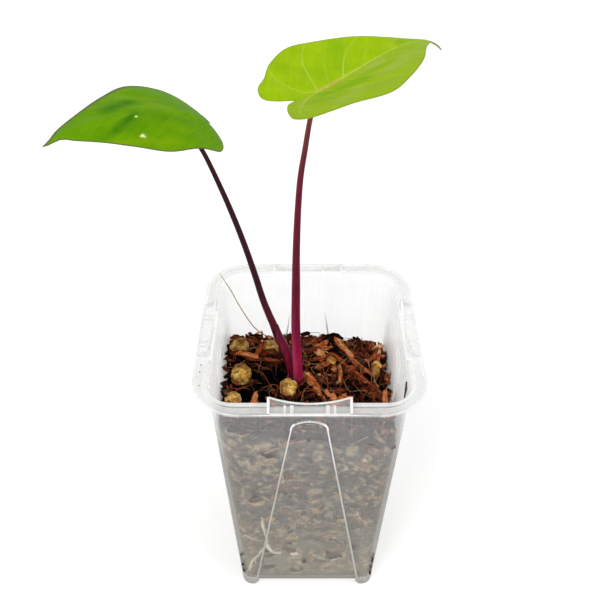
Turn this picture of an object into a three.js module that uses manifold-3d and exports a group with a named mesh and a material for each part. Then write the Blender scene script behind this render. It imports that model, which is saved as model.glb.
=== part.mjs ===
// A young black stem alocasia with two leaves, in a clear square nursery pot.
// Millimetres, +Z up. The pot's axis is the Z axis while the pieces are made, and the front of the pot faces -Y.
// The last lines move the whole part so that its origin is the middle of its outline, on the ground.

import * as THREE from 'three';
import { mergeVertices } from 'three/addons/utils/BufferGeometryUtils.js';
import Module from 'manifold-3d';

const wasm = await Module();
wasm.setup();

// Pot
const rimHeight = 131;          // ground to the top of the rim bead
const rimHalf = 40;             // half the width over the rim
const rimCorner = 17;
const mouthHalf = 34.7;         // inside edge of the rim
const mouthCorner = 9;
const flangeThick = 1.3;
const flangeStep = 0.5;         // the flat of the flange lies this far below its bead and lip
const wallTopHalf = 34.7;       // outside of the wall, under the flange
const wallFootHalf = 29.4;      // outside of the wall, on the ground
const wallTopCorner = 9;
const wallFootCorner = 4.5;
const wallThick = 1.0;
const floorUnder = 3;           // the floor stands this far off the ground, on the corner feet
const floorThick = 1.2;
const footThick = 1.8;

// Ear in the middle of each side of the rim
const earHalf = 13.4;
const earRise = 3;
const earThick = 1.0;
const ribPlaces = [[-8.2, 0.8], [-5.9, 1.2], [5.9, 1.2], [8.2, 0.8]];   // place along the side, width

// Arched recess in each wall
const archFootHalf = 22.5;
const archShoulderHalf = 6.1;
const archShoulderHeight = 115.5;
const archTop = 120;
const archFootDepth = 1.0;
const archTopDepth = 0.35;

// Drainage
const floorHoles = [[0, 0, 4], [14, 14, 3], [-14, 14, 3], [-14, -14, 3], [14, -14, 3]];   // x, y, radius
const slotWidth = 1.6;
const slotFrom = 6;
const slotTo = 26;

// Clearance between pieces that touch
const gap = 0.3;

// Potting mix
const mixLevel = 107.5;
const mixTilt = -0.15;          // rise per millimetre towards +X
const mixBackFall = 0.009;      // fall behind the middle, per square millimetre
const chipCount = 54;
const chipSeed = 11;

// Plant
const bladeThick = 0.7;
const cormCentre = [-5.2, -1.2, 90];
const cormHalfWidth = 6;
const cormHalfHeight = 7;

// Small helpers

function seededRandom(seed) {
  let state = seed;
  return () => {
    state = (state * 1664525 + 1013904223) % 4294967296;
    return state / 4294967296;
  };
}

function toSolid(geometry) {
  const bare = geometry.clone();
  bare.deleteAttribute('normal');
  bare.deleteAttribute('uv');
  const merged = mergeVertices(bare, 1e-4);
  const vertProperties = new Float32Array(merged.attributes.position.array);
  const triVerts = new Uint32Array(merged.index.array);
  return new wasm.Manifold(new wasm.Mesh({ numProp: 3, vertProperties, triVerts }));
}

function toGeometry(solid) {
  const mesh = solid.getMesh();
  const geometry = new THREE.BufferGeometry();
  geometry.setAttribute('position', new THREE.BufferAttribute(mesh.vertProperties, 3));
  geometry.setIndex(new THREE.BufferAttribute(mesh.triVerts, 1));
  geometry.computeVertexNormals();
  return geometry;
}

// The one body to keep, without slivers finer than the tolerance.
function largestBody(solid, tolerance = 0.004) {
  const bodies = solid.simplify(tolerance).decompose();
  return bodies.reduce((best, body) => (body.volume() > best.volume() ? body : best));
}

// Closed solid through rings of points. Every ring has the same count, runs anticlockwise seen from the last
// ring's side, and each end is closed with a fan round its middle.
function loftSolid(rings) {
  const count = rings[0].length;
  const points = [];
  const faces = [];
  for (const ring of rings) points.push(...ring);
  for (let level = 0; level + 1 < rings.length; level += 1) {
    for (let i = 0; i < count; i += 1) {
      const j = (i + 1) % count;
      const a = level * count + i;
      const b = level * count + j;
      faces.push(a, b, b + count, a, b + count, a + count);
    }
  }
  const ends = [[0, true], [rings.length - 1, false]];
  for (const [level, flipped] of ends) {
    const middle = new THREE.Vector3();
    for (const point of rings[level]) middle.add(point);
    points.push(middle.divideScalar(count));
    const centre = points.length - 1;
    for (let i = 0; i < count; i += 1) {
      const a = level * count + i;
      const b = level * count + ((i + 1) % count);
      if (flipped) faces.push(centre, b, a);
      else faces.push(centre, a, b);
    }
  }
  return meshGeometry(points, faces);
}

function meshGeometry(points, faces) {
  const geometry = new THREE.BufferGeometry().setFromPoints(points);
  geometry.setIndex(faces);
  return geometry;
}

// Square of a given half width with round corners, anticlockwise seen from above.
function roundedSquare(half, corner, z, segments = 5) {
  const centre = half - corner;
  const points = [];
  for (let quarter = 0; quarter < 4; quarter += 1) {
    const start = quarter * Math.PI / 2;
    const cx = centre * Math.SQRT2 * Math.cos(start + Math.PI / 4);
    const cy = centre * Math.SQRT2 * Math.sin(start + Math.PI / 4);
    for (let k = 0; k <= segments; k += 1) {
      const angle = start + (k / segments) * Math.PI / 2;
      points.push(new THREE.Vector3(cx + corner * Math.cos(angle), cy + corner * Math.sin(angle), z));
    }
  }
  return points;
}

function boxSolid(x0, x1, y0, y1, z0, z1) {
  const geometry = new THREE.BoxGeometry(x1 - x0, y1 - y0, z1 - z0);
  geometry.translate((x0 + x1) / 2, (y0 + y1) / 2, (z0 + z1) / 2);
  return toSolid(geometry);
}

function turned(solid, quarter) {
  return solid.rotate([0, 0, quarter * 90]);
}

function onFourSides(solid) {
  return [0, 1, 2, 3].map((quarter) => turned(solid, quarter));
}

function subtractAll(solid, cutters) {
  return cutters.reduce((rest, cutter) => rest.subtract(cutter), solid);
}

function addAll(solid, extras) {
  return extras.reduce((sum, extra) => sum.add(extra), solid);
}

// Tube along a smooth curve through the points, with a radius for each point, and flat ends.
// grow widens and lengthens it.
function taperedTube(points, radii, steps, sides, grow = 0) {
  const curve = new THREE.CatmullRomCurve3(points.map((p) => new THREE.Vector3(...p)));
  const frames = curve.computeFrenetFrames(steps, false);
  const rings = [];
  for (let i = 0; i <= steps; i += 1) {
    const share = i / steps;
    const at = share * (points.length - 1);
    const low = Math.min(Math.floor(at), points.length - 2);
    const radius = THREE.MathUtils.lerp(radii[low], radii[low + 1], at - low) + grow;
    const centre = curve.getPoint(share);
    if (i === 0) centre.addScaledVector(frames.tangents[i], -grow);
    if (i === steps) centre.addScaledVector(frames.tangents[i], grow);
    const ring = [];
    for (let k = 0; k < sides; k += 1) {
      const angle = (k / sides) * Math.PI * 2;
      ring.push(centre.clone()
        .addScaledVector(frames.normals[i], radius * Math.cos(angle))
        .addScaledVector(frames.binormals[i], radius * Math.sin(angle)));
    }
    rings.push(ring);
  }
  return loftSolid(rings);
}

function pebble(radius, stretch, seed, grow = 0) {
  const random = seededRandom(seed);
  const lean = [random() * 6, random() * 6, random() * 6];
  const geometry = mergeVertices(new THREE.IcosahedronGeometry(1, 2).deleteAttribute('normal').deleteAttribute('uv'));
  const position = geometry.attributes.position;
  const point = new THREE.Vector3();
  for (let i = 0; i < position.count; i += 1) {
    point.fromBufferAttribute(position, i);
    const lump = Math.sin(2.3 * point.x + lean[0]) + Math.sin(2.9 * point.y + lean[1])
      + Math.sin(2.6 * point.z + lean[2]);
    point.multiplyScalar(radius * (1 + 0.07 * lump) + grow);
    point.multiply(new THREE.Vector3(...stretch));
    position.setXYZ(i, point.x, point.y, point.z);
  }
  return geometry;
}

// Pot

function wallHalf(z) {
  return THREE.MathUtils.lerp(wallFootHalf, wallTopHalf, z / rimHeight);
}

function wallCorner(z) {
  return THREE.MathUtils.lerp(wallFootCorner, wallTopCorner, z / rimHeight);
}

// Inside of the wall, drawn in by inset more.
function cavityRing(z, inset) {
  return roundedSquare(wallHalf(z) - wallThick - inset, wallCorner(z) - wallThick - inset, z);
}

// Outline of the arch in the X-Z plane, widened by spread.
function archOutline(spread) {
  const slope = (archFootHalf - archShoulderHalf) / archShoulderHeight;
  const low = -5;
  const points = [[-(archFootHalf - slope * low) - spread, low], [(archFootHalf - slope * low) + spread, low]];
  const turns = 10;
  for (let k = 0; k <= turns; k += 1) {
    const angle = (k / turns) * Math.PI;
    points.push([
      (archShoulderHalf + spread) * Math.cos(angle),
      archShoulderHeight + (archTop - archShoulderHeight + spread) * Math.sin(angle),
    ]);
  }
  return points;
}

// Block in front of the recessed face of the arch. behind moves its inner face towards the pot's axis.
function archBlock(spread, behind) {
  const footFace = wallFootHalf - archFootDepth - behind;
  const rise = ((wallHalf(archTop) - archTopDepth) - (wallFootHalf - archFootDepth)) / archTop;
  const outline = archOutline(spread);
  const outer = outline.map(([x, z]) => new THREE.Vector3(x, -60, z));
  const inner = outline.map(([x, z]) => new THREE.Vector3(x, -(footFace + rise * z), z));
  return toSolid(loftSolid([inner, outer]));
}

function makePot() {
  const top = rimHeight;
  const flangeUnder = top - flangeThick;
  const body = toSolid(loftSolid([
    roundedSquare(wallHalf(0), wallCorner(0), 0),
    roundedSquare(wallHalf(flangeUnder), wallCorner(flangeUnder), flangeUnder),
    roundedSquare(rimHalf - 0.2, rimCorner - 0.2, flangeUnder),
    roundedSquare(rimHalf, rimCorner, flangeUnder + 0.3),
    roundedSquare(rimHalf, rimCorner, top - 0.4),
    roundedSquare(rimHalf - 0.4, rimCorner - 0.4, top - 0.1),
    roundedSquare(rimHalf - 0.9, rimCorner - 0.9, top - 0.1),
    roundedSquare(rimHalf - 1.2, rimCorner - 1.2, top - flangeStep),
    roundedSquare(mouthHalf + 1.9, mouthCorner + 3.2, top - flangeStep),
    roundedSquare(mouthHalf + 1.6, mouthCorner + 2.6, top),
    roundedSquare(mouthHalf - 2, mouthCorner - 1, top),
  ]));
  const mouthFunnel = top - 2.6;
  const cavityFloor = floorUnder + floorThick;
  let cavity = toSolid(loftSolid([
    cavityRing(cavityFloor, 0),
    cavityRing(mouthFunnel, 0),
    roundedSquare(mouthHalf - 0.2, mouthCorner - 0.2, top - 0.5),
    roundedSquare(mouthHalf, mouthCorner, top + 0.01),
    roundedSquare(mouthHalf, mouthCorner, top + 5),
  ]));
  cavity = subtractAll(cavity, onFourSides(archBlock(wallThick, wallThick)));

  let pot = subtractAll(body, onFourSides(archBlock(0, 0)));
  pot = addAll(pot, onFourSides(makeEar()));
  pot = subtractAll(pot, onFourSides(makeEarPocket()));
  pot = addAll(pot, onFourSides(makeEarTrim()));
  pot = pot.subtract(cavity);

  const footInner = wallFootHalf - footThick;
  const underWay = archFootHalf - 0.4;
  pot = pot.subtract(boxSolid(-footInner, footInner, -footInner, footInner, -1, floorUnder));
  pot = pot.subtract(boxSolid(-underWay, underWay, -rimHalf, rimHalf, -1, floorUnder));
  pot = pot.subtract(boxSolid(-rimHalf, rimHalf, -underWay, underWay, -1, floorUnder));

  for (const [x, y, radius] of floorHoles) {
    const drill = new THREE.CylinderGeometry(radius, radius, 10, 16).rotateX(Math.PI / 2).translate(x, y, 3);
    pot = pot.subtract(toSolid(drill));
  }
  for (let quarter = 0; quarter < 4; quarter += 1) {
    const slot = boxSolid(30, 50, -slotWidth / 2, slotWidth / 2, slotFrom, slotTo);
    pot = pot.subtract(slot.rotate([0, 0, 45 + 90 * quarter]));
  }
  return largestBody(pot);
}

// Plate that stands up from the mouth of the pot, with an arc cut into its top.
function makeEar() {
  const plate = boxSolid(
    -earHalf - earThick, earHalf + earThick,
    -mouthHalf - earThick, -mouthHalf + 0.6, rimHeight - 3, rimHeight + earRise,
  );
  const arcRadius = (earHalf * earHalf + earRise * earRise) / (2 * earRise);
  const arc = new THREE.CylinderGeometry(arcRadius, arcRadius, 20, 96);
  arc.translate(0, -mouthHalf, 0);
  const cutter = toSolid(arc).translate([0, 0, rimHeight + arcRadius]);
  return plate.subtract(cutter);
}

function makeEarPocket() {
  return boxSolid(
    -earHalf, earHalf,
    -rimHalf + 0.9, -mouthHalf - earThick, rimHeight - flangeStep - 0.25, rimHeight + 6,
  );
}

// Sloping end walls of the pocket, and the ribs on its floor.
function makeEarTrim() {
  const pieces = [];
  for (const side of [-1, 1]) {
    const x0 = side * earHalf;
    const x1 = side * (earHalf + earThick);
    const low = Math.min(x0, x1);
    const high = Math.max(x0, x1);
    const profile = [
      [-mouthHalf - 0.2, rimHeight - 1], [-mouthHalf - 0.2, rimHeight + earRise],
      [-mouthHalf - earThick, rimHeight + earRise], [-rimHalf + 0.4, rimHeight + 0.3], [-rimHalf + 0.4, rimHeight - 1],
    ];
    const lowRing = profile.map(([y, z]) => new THREE.Vector3(low, y, z));
    const highRing = profile.map(([y, z]) => new THREE.Vector3(high, y, z));
    pieces.push(toSolid(loftSolid([lowRing, highRing])));
  }
  for (const [x, width] of ribPlaces) {
    pieces.push(boxSolid(
      x - width / 2, x + width / 2,
      -rimHalf + 0.6, -mouthHalf - 0.5, rimHeight - 1, rimHeight - 0.25,
    ));
  }
  return pieces.reduce((sum, piece) => sum.add(piece));
}

// Plant

// Petioles: points on the centre line from the corm up to the underside of the blade, and radii along it.
const rightBladeAt = [1.8, 0, 222.9];
const leftBladeAt = [-37.7, 0, 216.9];

const rightPetiole = {
  points: [
    [-3.2, -2.9, 97.6], [-3.8, -2.8, 108], [-4.7, -2.3, 133.8], [-4.6, -1.9, 151], [-4.4, -1.5, 168.6],
    [-3.8, -1.1, 184.8], [-3.0, -0.8, 196], [-1.7, -0.6, 205], [-0.2, -0.2, 214.8], rightBladeAt,
  ],
  radii: [1.8, 1.85, 1.65, 1.5, 1.25, 1.05, 0.95, 0.85, 0.75, 0.7],
};

// The left petiole widens below 140 mm, where it sheathes the bud.
const leftPetiole = {
  points: [
    [-6.2, 1.2, 97.6], [-6.6, 0.7, 108], [-8.9, 0.4, 120], [-10.8, 0.4, 128.6], [-12, 0.3, 133.8],
    [-14, 0.3, 138.4], [-16.1, 0.2, 145.5], [-18.6, 0.2, 156.8], [-21.7, 0.1, 170.3], [-25.4, 0, 184],
    [-29.8, 0, 197.8], [-32, 0, 203.8], leftBladeAt,
  ],
  radii: [1.8, 2.05, 2.0, 1.75, 1.5, 1.3, 1.2, 1.1, 1.0, 0.9, 0.75, 0.7, 0.65],
};

function petioleSolid(petiole, grow) {
  return toSolid(taperedTube(petiole.points, petiole.radii, 30, 10, grow));
}

// A blade is drawn flat, as the distance from the petiole's place to its edge at each angle from the midrib,
// then bent along the midrib and across it, turned and put in place. Right and left are its halves as seen from
// the petiole's place, looking at the tip.
const bladeAngles = [0, 2, 8, 20, 40, 65, 95, 125, 148, 164, 180];

const rightBlade = {
  at: rightBladeAt,
  right: { reach: [62, 48, 41.5, 35.5, 26.5, 21.2, 14.8, 16.5, 22.3, 19.5, 8.9], fold: 3.6, curl: 0.5 },
  left: { reach: [62, 48, 40, 33.3, 26.5, 22.9, 17.7, 15.5, 17.4, 17.4, 8.9], fold: 12.5, curl: 0 },
  slopeGrowth: 0.8,      // degrees per millimetre, up towards the tip
  tipDroop: 1.02,        // and the fall that grows with distance
  lobeDroop: -0.14,      // fall towards the lobes, degrees per millimetre
  heading: 48,
  rise: -2.4,
  roll: -0.3,
};

const leftBlade = {
  at: leftBladeAt,
  right: { reach: [40.5, 36.5, 34.5, 28.6, 24.3, 23, 19.1, 17.5, 16.8, 14, 9.3], fold: -6.5, curl: 0.1 },
  left: { reach: [40.5, 34, 31.1, 26.5, 22.4, 20.1, 16.6, 17.6, 15.5, 12.2, 9.3], fold: -7.5, curl: -0.43 },
  slopeGrowth: -1.53,
  tipDroop: -0.62,
  lobeDroop: 2.18,
  heading: 207.3,
  rise: 21,
  roll: -2.2,
};

// Slope of the midrib, in radians, at a distance along it from the petiole.
function midribSlope(blade, along) {
  if (along < 0) return THREE.MathUtils.degToRad(-blade.lobeDroop * along);
  return THREE.MathUtils.degToRad(blade.slopeGrowth * along - blade.tipDroop * along * along / 50);
}

// Midrib's run and height at a distance along it, by short steps.
function midribPoint(blade, along) {
  const steps = Math.max(2, Math.ceil(Math.abs(along)));
  const step = along / steps;
  let run = 0;
  let height = 0;
  for (let i = 0; i < steps; i += 1) {
    const slope = midribSlope(blade, (i + 0.5) * step);
    run += step * Math.cos(slope);
    height += step * Math.sin(slope);
  }
  return [run, height];
}

// Point of the blade's upper face for a point of the flat outline. across is to the left of the midrib.
// A half's fold, in degrees, lifts it at the midrib, and its curl lifts it more with each millimetre.
function bladePoint(blade, along, across) {
  const half = across < 0 ? blade.right : blade.left;
  const fold = THREE.MathUtils.degToRad(half.fold);
  const curl = THREE.MathUtils.degToRad(half.curl) || 1e-6;
  const width = Math.abs(across);
  const side = Math.sign(across) * (Math.sin(fold + curl * width) - Math.sin(fold)) / curl;
  const lift = (Math.cos(fold) - Math.cos(fold + curl * width)) / curl;
  const slope = midribSlope(blade, along);
  const [run, height] = midribPoint(blade, along);
  const point = new THREE.Vector3(run - Math.sin(slope) * lift, side, height + Math.cos(slope) * lift);
  point.applyAxisAngle(new THREE.Vector3(1, 0, 0), THREE.MathUtils.degToRad(blade.roll));
  point.applyAxisAngle(new THREE.Vector3(0, 1, 0), -THREE.MathUtils.degToRad(blade.rise));
  point.applyAxisAngle(new THREE.Vector3(0, 0, 1), THREE.MathUtils.degToRad(blade.heading));
  return point.add(new THREE.Vector3(...blade.at));
}

function bladeNormal(blade, along, across) {
  const step = 0.2;
  const ahead = bladePoint(blade, along + step, across).sub(bladePoint(blade, along - step, across));
  const beside = bladePoint(blade, along, across + step).sub(bladePoint(blade, along, across - step));
  return ahead.cross(beside).normalize();
}

const outlineSteps = 3;       // points of the outline for each given angle
const bladeRings = [0.2, 0.45, 0.68, 0.87, 1];

// Edge of one half of the flat blade, from tip to sinus. side is 1 for the left half and -1 for the right.
function halfOutline(half, side) {
  const points = bladeAngles.map((degrees, i) => {
    const angle = THREE.MathUtils.degToRad(degrees);
    return new THREE.Vector3(half.reach[i] * Math.cos(angle), side * half.reach[i] * Math.sin(angle), 0);
  });
  return new THREE.CatmullRomCurve3(points).getPoints(outlineSteps * (points.length - 1));
}

// Closed thin blade. spread makes it thicker on both faces.
function makeBlade(blade, spread = 0) {
  const leftEdge = halfOutline(blade.left, 1);
  const rightEdge = halfOutline(blade.right, -1).reverse();
  const edgeLine = [...leftEdge.slice(0, -1), ...rightEdge.slice(0, -1)];
  const upper = [];
  const lower = [];
  const place = (along, across) => {
    const top = bladePoint(blade, along, across);
    const normal = bladeNormal(blade, along, across);
    upper.push(top.clone().addScaledVector(normal, spread));
    lower.push(top.clone().addScaledVector(normal, -bladeThick - spread));
  };
  place(0, 0);
  for (const ring of bladeRings) {
    for (const point of edgeLine) place(ring * point.x, ring * point.y);
  }
  const count = edgeLine.length;
  const under = upper.length;
  const faces = [];
  const addBoth = (a, b, c) => {
    faces.push(a, b, c, a + under, c + under, b + under);
  };
  for (let i = 0; i < count; i += 1) {
    const j = (i + 1) % count;
    addBoth(0, 1 + i, 1 + j);
    for (let ring = 0; ring + 1 < bladeRings.length; ring += 1) {
      const a = 1 + ring * count + i;
      const b = 1 + ring * count + j;
      addBoth(a, a + count, b + count);
      addBoth(a, b + count, b);
    }
    const edge = 1 + (bladeRings.length - 1) * count;
    faces.push(edge + i, edge + i + under, edge + j + under, edge + i, edge + j + under, edge + j);
  }
  return meshGeometry([...upper, ...lower], faces);
}

// Petiole cut off just under its blade.
function makePetiole(petiole, blade) {
  return largestBody(petioleSolid(petiole, 0).subtract(toSolid(makeBlade(blade, gap))));
}

// Corm with its roots. The first root breaks out of the mix low at the front left and runs down along the wall.
const wallRoots = [
  [[-6, -4, 86], [-13, -15, 74], [-18, -26, 60], [-18.6, -28.4, 50], [-17.8, -28.2, 40], [-20, -27.6, 28],
    [-23.5, -27.0, 18]],
  [[-18.2, -27.9, 40], [-16.5, -27.9, 31], [-13.5, -27.6, 26.5], [-7, -27.3, 25.5]],
];
const innerRoots = [
  [[-5, -1, 86], [-1, 4, 70], [4, 10, 50], [2, 14, 26], [6, 12, 12]],
  [[-5, -1, 86], [6, -6, 74], [15, -12, 56], [18, -16, 34]],
  [[-5, -1, 86], [-14, 6, 72], [-20, 14, 50], [-19, 19, 24]],
];

function makeCorm(grow) {
  const lump = new THREE.SphereGeometry(1, 14, 10).rotateX(Math.PI / 2);
  lump.scale(cormHalfWidth + grow, cormHalfWidth + grow, cormHalfHeight + grow);
  lump.translate(...cormCentre);
  const roots = [...wallRoots, ...innerRoots].map((points) => {
    const radii = points.map((point, i) => 0.95 - 0.45 * (i / (points.length - 1)));
    return toSolid(taperedTube(points, radii, 9, 6, grow));
  });
  return largestBody(addAll(toSolid(lump), roots));
}

// Loose dry strand of coir, standing in the mix.
const strand = {
  points: [
    [-10.5, 18, 103], [-13.9, 17, 110.8], [-17.2, 14, 115.2], [-21.2, 14, 119.6], [-26.5, 14, 131.2],
    [-29.1, 14, 138.3], [-32.7, 14, 146.4],
  ],
  radii: [0.35, 0.4, 0.4, 0.4, 0.35, 0.35, 0.3],
};

// Stones: place, radius, stretch and seed.
const stones = [
  { name: 'pumice_left', at: [-25.5, -4.7, 112.8], radius: 4.1, stretch: [1, 0.95, 0.92], seed: 3 },
  { name: 'pumice_front', at: [-7.4, -9.2, 109.9], radius: 3.8, stretch: [0.95, 1, 0.9], seed: 8 },
  { name: 'pumice_front_left', at: [-27.6, -16.1, 112.2], radius: 2.9, stretch: [1.1, 0.95, 0.8], seed: 14 },
  { name: 'pumice_back_left', at: [-27.2, 11.2, 111.4], radius: 3.3, stretch: [1.05, 1, 0.85], seed: 21 },
  { name: 'pumice_middle', at: [-15.6, 12.2, 109.6], radius: 3.6, stretch: [1.1, 0.9, 0.85], seed: 27 },
  { name: 'pumice_small', at: [9.1, 7.7, 107.3], radius: 1.7, stretch: [1.1, 1, 0.9], seed: 33 },
  { name: 'pumice_right', at: [27.2, 5.7, 104.3], radius: 2.6, stretch: [0.8, 1.3, 0.9], seed: 40 },
];

function stoneSolid(stone, grow) {
  return toSolid(pebble(stone.radius, stone.stretch, stone.seed, grow)).translate(stone.at);
}

// Height of the top of the mix.
function mixHeight(x, y) {
  const fall = y > 0 ? mixBackFall * y * y : 0.002 * y * y;
  const lump = 0.9 * Math.sin(0.42 * x + 1.3) * Math.cos(0.37 * y - 0.6) + 0.6 * Math.sin(0.83 * x - 0.71 * y);
  return mixLevel + mixTilt * x - fall + lump;
}

// Mound wider than the pot's inside, which makeMix trims it to.
function makeMixBody() {
  const shares = [1, 0.9, 0.77, 0.62, 0.46, 0.3, 0.14];
  const spill = -1;
  const rings = [0, 92].map((z) => cavityRing(z, spill));
  for (const share of shares) {
    rings.push(cavityRing(mixLevel, spill).map((p) => {
      const x = p.x * share;
      const y = p.y * share;
      return new THREE.Vector3(x, y, mixHeight(x, y));
    }));
  }
  return toSolid(loftSolid(rings));
}

// Flat flakes and strips of husk and bark, laid at random and half sunk in the top of the mix.
function makeChips() {
  const random = seededRandom(chipSeed);
  const chips = [];
  for (let i = 0; i < chipCount; i += 1) {
    const x = (random() * 2 - 1) * 29;
    const y = (random() * 2 - 1) * 29;
    const long = 4 + 7 * random();
    const wide = 2 + 2.6 * random();
    const thick = 1.1 + 0.9 * random();
    const flake = new THREE.BoxGeometry(long, wide, thick);
    flake.rotateX((random() - 0.5) * 1.6);
    flake.rotateY((random() - 0.5) * 0.9);
    flake.rotateZ(random() * Math.PI);
    flake.translate(x, y, mixHeight(x, y) + 0.35 * random());
    chips.push(toSolid(flake));
  }
  const strip = new THREE.BoxGeometry(21, 4.2, 1.8).rotateX(0.5).rotateZ(-0.78).translate(22, -2.5, 106);
  chips.push(toSolid(strip));
  return chips;
}

function makeMix() {
  const room = toSolid(loftSolid([
    cavityRing(floorUnder + floorThick + gap, gap),
    cavityRing(rimHeight - 6, gap),
  ]));
  const envelope = subtractAll(room, onFourSides(archBlock(wallThick + gap, wallThick + gap)));
  let mix = addAll(makeMixBody(), makeChips()).intersect(envelope);
  mix = mix.subtract(petioleSolid(rightPetiole, gap));
  mix = mix.subtract(petioleSolid(leftPetiole, gap));
  mix = mix.subtract(makeCorm(gap));
  mix = mix.subtract(toSolid(taperedTube(strand.points, strand.radii, 12, 6, gap)));
  mix = subtractAll(mix, stones.map((stone) => stoneSolid(stone, gap)));
  return largestBody(mix, 0.02);
}

// Assembly

const finishes = {
  pot: { color: 0xe9ecee, roughness: 0.35, metalness: 0, transparent: true, opacity: 0.45 },
  mix: { color: 0x4a2c1c, roughness: 0.95, metalness: 0 },
  pumice: { color: 0xc49a52, roughness: 0.9, metalness: 0 },
  root: { color: 0xe8e2d2, roughness: 0.6, metalness: 0 },
  rightStem: { color: 0x7a1f45, roughness: 0.4, metalness: 0 },
  leftStem: { color: 0x4a1c2e, roughness: 0.4, metalness: 0 },
  limeLeaf: { color: 0x9cc40e, roughness: 0.45, metalness: 0 },
  greenLeaf: { color: 0x66a010, roughness: 0.4, metalness: 0 },
  strand: { color: 0x9a6a3c, roughness: 0.8, metalness: 0 },
};

const part = new THREE.Group();

function addPiece(name, geometry, finish) {
  const mesh = new THREE.Mesh(geometry, new THREE.MeshStandardMaterial(finishes[finish]));
  mesh.name = name;
  part.add(mesh);
}

addPiece('pot', toGeometry(makePot()), 'pot');
addPiece('potting_mix', toGeometry(makeMix()), 'mix');
addPiece('corm_and_roots', toGeometry(makeCorm(0)), 'root');
addPiece('petiole_right', toGeometry(makePetiole(rightPetiole, rightBlade)), 'rightStem');
addPiece(
  'petiole_left',
  toGeometry(largestBody(makePetiole(leftPetiole, leftBlade).subtract(petioleSolid(rightPetiole, gap)))),
  'leftStem',
);
addPiece('blade_right', makeBlade(rightBlade), 'limeLeaf');
addPiece('blade_left', makeBlade(leftBlade), 'greenLeaf');
for (const stone of stones) {
  addPiece(stone.name, toGeometry(stoneSolid(stone, 0)), 'pumice');
}
addPiece('coir_strand', taperedTube(strand.points, strand.radii, 12, 6), 'strand');

const outline = new THREE.Box3().setFromObject(part);
part.position.set(
  -(outline.min.x + outline.max.x) / 2,
  -(outline.min.y + outline.max.y) / 2,
  -outline.min.z,
);

export default part;
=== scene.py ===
# Young black stem alocasia with two leaves, in a clear square nursery pot.
# Pieces are modelled in millimetres round the pot's axis, with the front towards -Y,
# and then placed in the frame in metres.
import math
import random

import bmesh
import bpy
from mathutils import Matrix, Vector, kdtree, noise


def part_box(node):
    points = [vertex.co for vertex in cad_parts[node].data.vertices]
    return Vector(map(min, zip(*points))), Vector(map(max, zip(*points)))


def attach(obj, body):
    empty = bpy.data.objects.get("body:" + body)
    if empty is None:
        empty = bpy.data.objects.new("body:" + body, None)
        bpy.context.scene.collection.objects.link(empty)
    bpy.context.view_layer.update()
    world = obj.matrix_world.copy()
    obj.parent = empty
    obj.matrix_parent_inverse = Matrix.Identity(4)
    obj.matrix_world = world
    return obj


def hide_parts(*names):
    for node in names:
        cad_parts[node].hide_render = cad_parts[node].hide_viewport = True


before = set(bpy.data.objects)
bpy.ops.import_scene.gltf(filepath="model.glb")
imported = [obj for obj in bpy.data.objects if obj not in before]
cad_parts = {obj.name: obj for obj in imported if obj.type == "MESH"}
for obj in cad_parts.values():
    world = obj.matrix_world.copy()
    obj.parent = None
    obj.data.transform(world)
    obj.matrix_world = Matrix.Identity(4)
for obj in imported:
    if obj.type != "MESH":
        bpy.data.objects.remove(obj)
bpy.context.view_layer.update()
mm = 0.001
potLow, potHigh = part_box("pot")
potAxis = Vector(((potLow.x + potHigh.x) / 2, (potLow.y + potHigh.y) / 2, 0))
print("frame loaded, pot axis at", tuple(round(v, 4) for v in potAxis))


# Small helpers

def lerp(low, high, share):
    return low + (high - low) * share


def clamp(value, low=0.0, high=1.0):
    return max(low, min(high, value))


def smoothStep(low, high, value):
    share = clamp((value - low) / (high - low))
    return share * share * (3 - 2 * share)


def ripple(x, y, z=0.0):
    return noise.noise(Vector((x, y, z)))


# Centripetal curve through the points, with the same count of steps between each two.
def smoothLine(points, stepsEach):
    points = [Vector(point) for point in points]
    guides = [points[0] * 2 - points[1], *points, points[-1] * 2 - points[-2]]
    line = []
    for i in range(len(points) - 1):
        p0, p1, p2, p3 = guides[i:i + 4]
        d0, d1, d2 = (max((b - a).length ** 0.5, 1e-4) for a, b in ((p0, p1), (p1, p2), (p2, p3)))
        leave = ((p1 - p0) / d0 - (p2 - p0) / (d0 + d1) + (p2 - p1) / d1) * d1
        arrive = ((p2 - p1) / d1 - (p3 - p1) / (d1 + d2) + (p3 - p2) / d2) * d1
        for k in range(stepsEach):
            t = k / stepsEach
            square = 3 * (p2 - p1) - 2 * leave - arrive
            cube = 2 * (p1 - p2) + leave + arrive
            line.append(p1 + leave * t + square * t ** 2 + cube * t ** 3)
    line.append(points[-1])
    return line


# One value for each step of smoothLine, straight between the given values.
def stepsBetween(values, stepsEach):
    count = (len(values) - 1) * stepsEach
    out = []
    for i in range(count + 1):
        low = min(i // stepsEach, len(values) - 2)
        out.append(lerp(values[low], values[low + 1], i / stepsEach - low))
    return out


# An object's shape with its modifiers and bevel applied.
def shapeOf(thing):
    bpy.context.view_layer.update()
    mesh = bpy.data.meshes.new_from_object(thing.evaluated_get(bpy.context.evaluated_depsgraph_get()))
    bm = bmesh.new()
    bm.from_mesh(mesh)
    bpy.data.meshes.remove(mesh)
    return bm


# Puts one shape's geometry into another.
def pour(bm, shape):
    mesh = bpy.data.meshes.new("poured")
    shape.to_mesh(mesh)
    shape.free()
    bm.from_mesh(mesh)
    bpy.data.meshes.remove(mesh)


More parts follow.
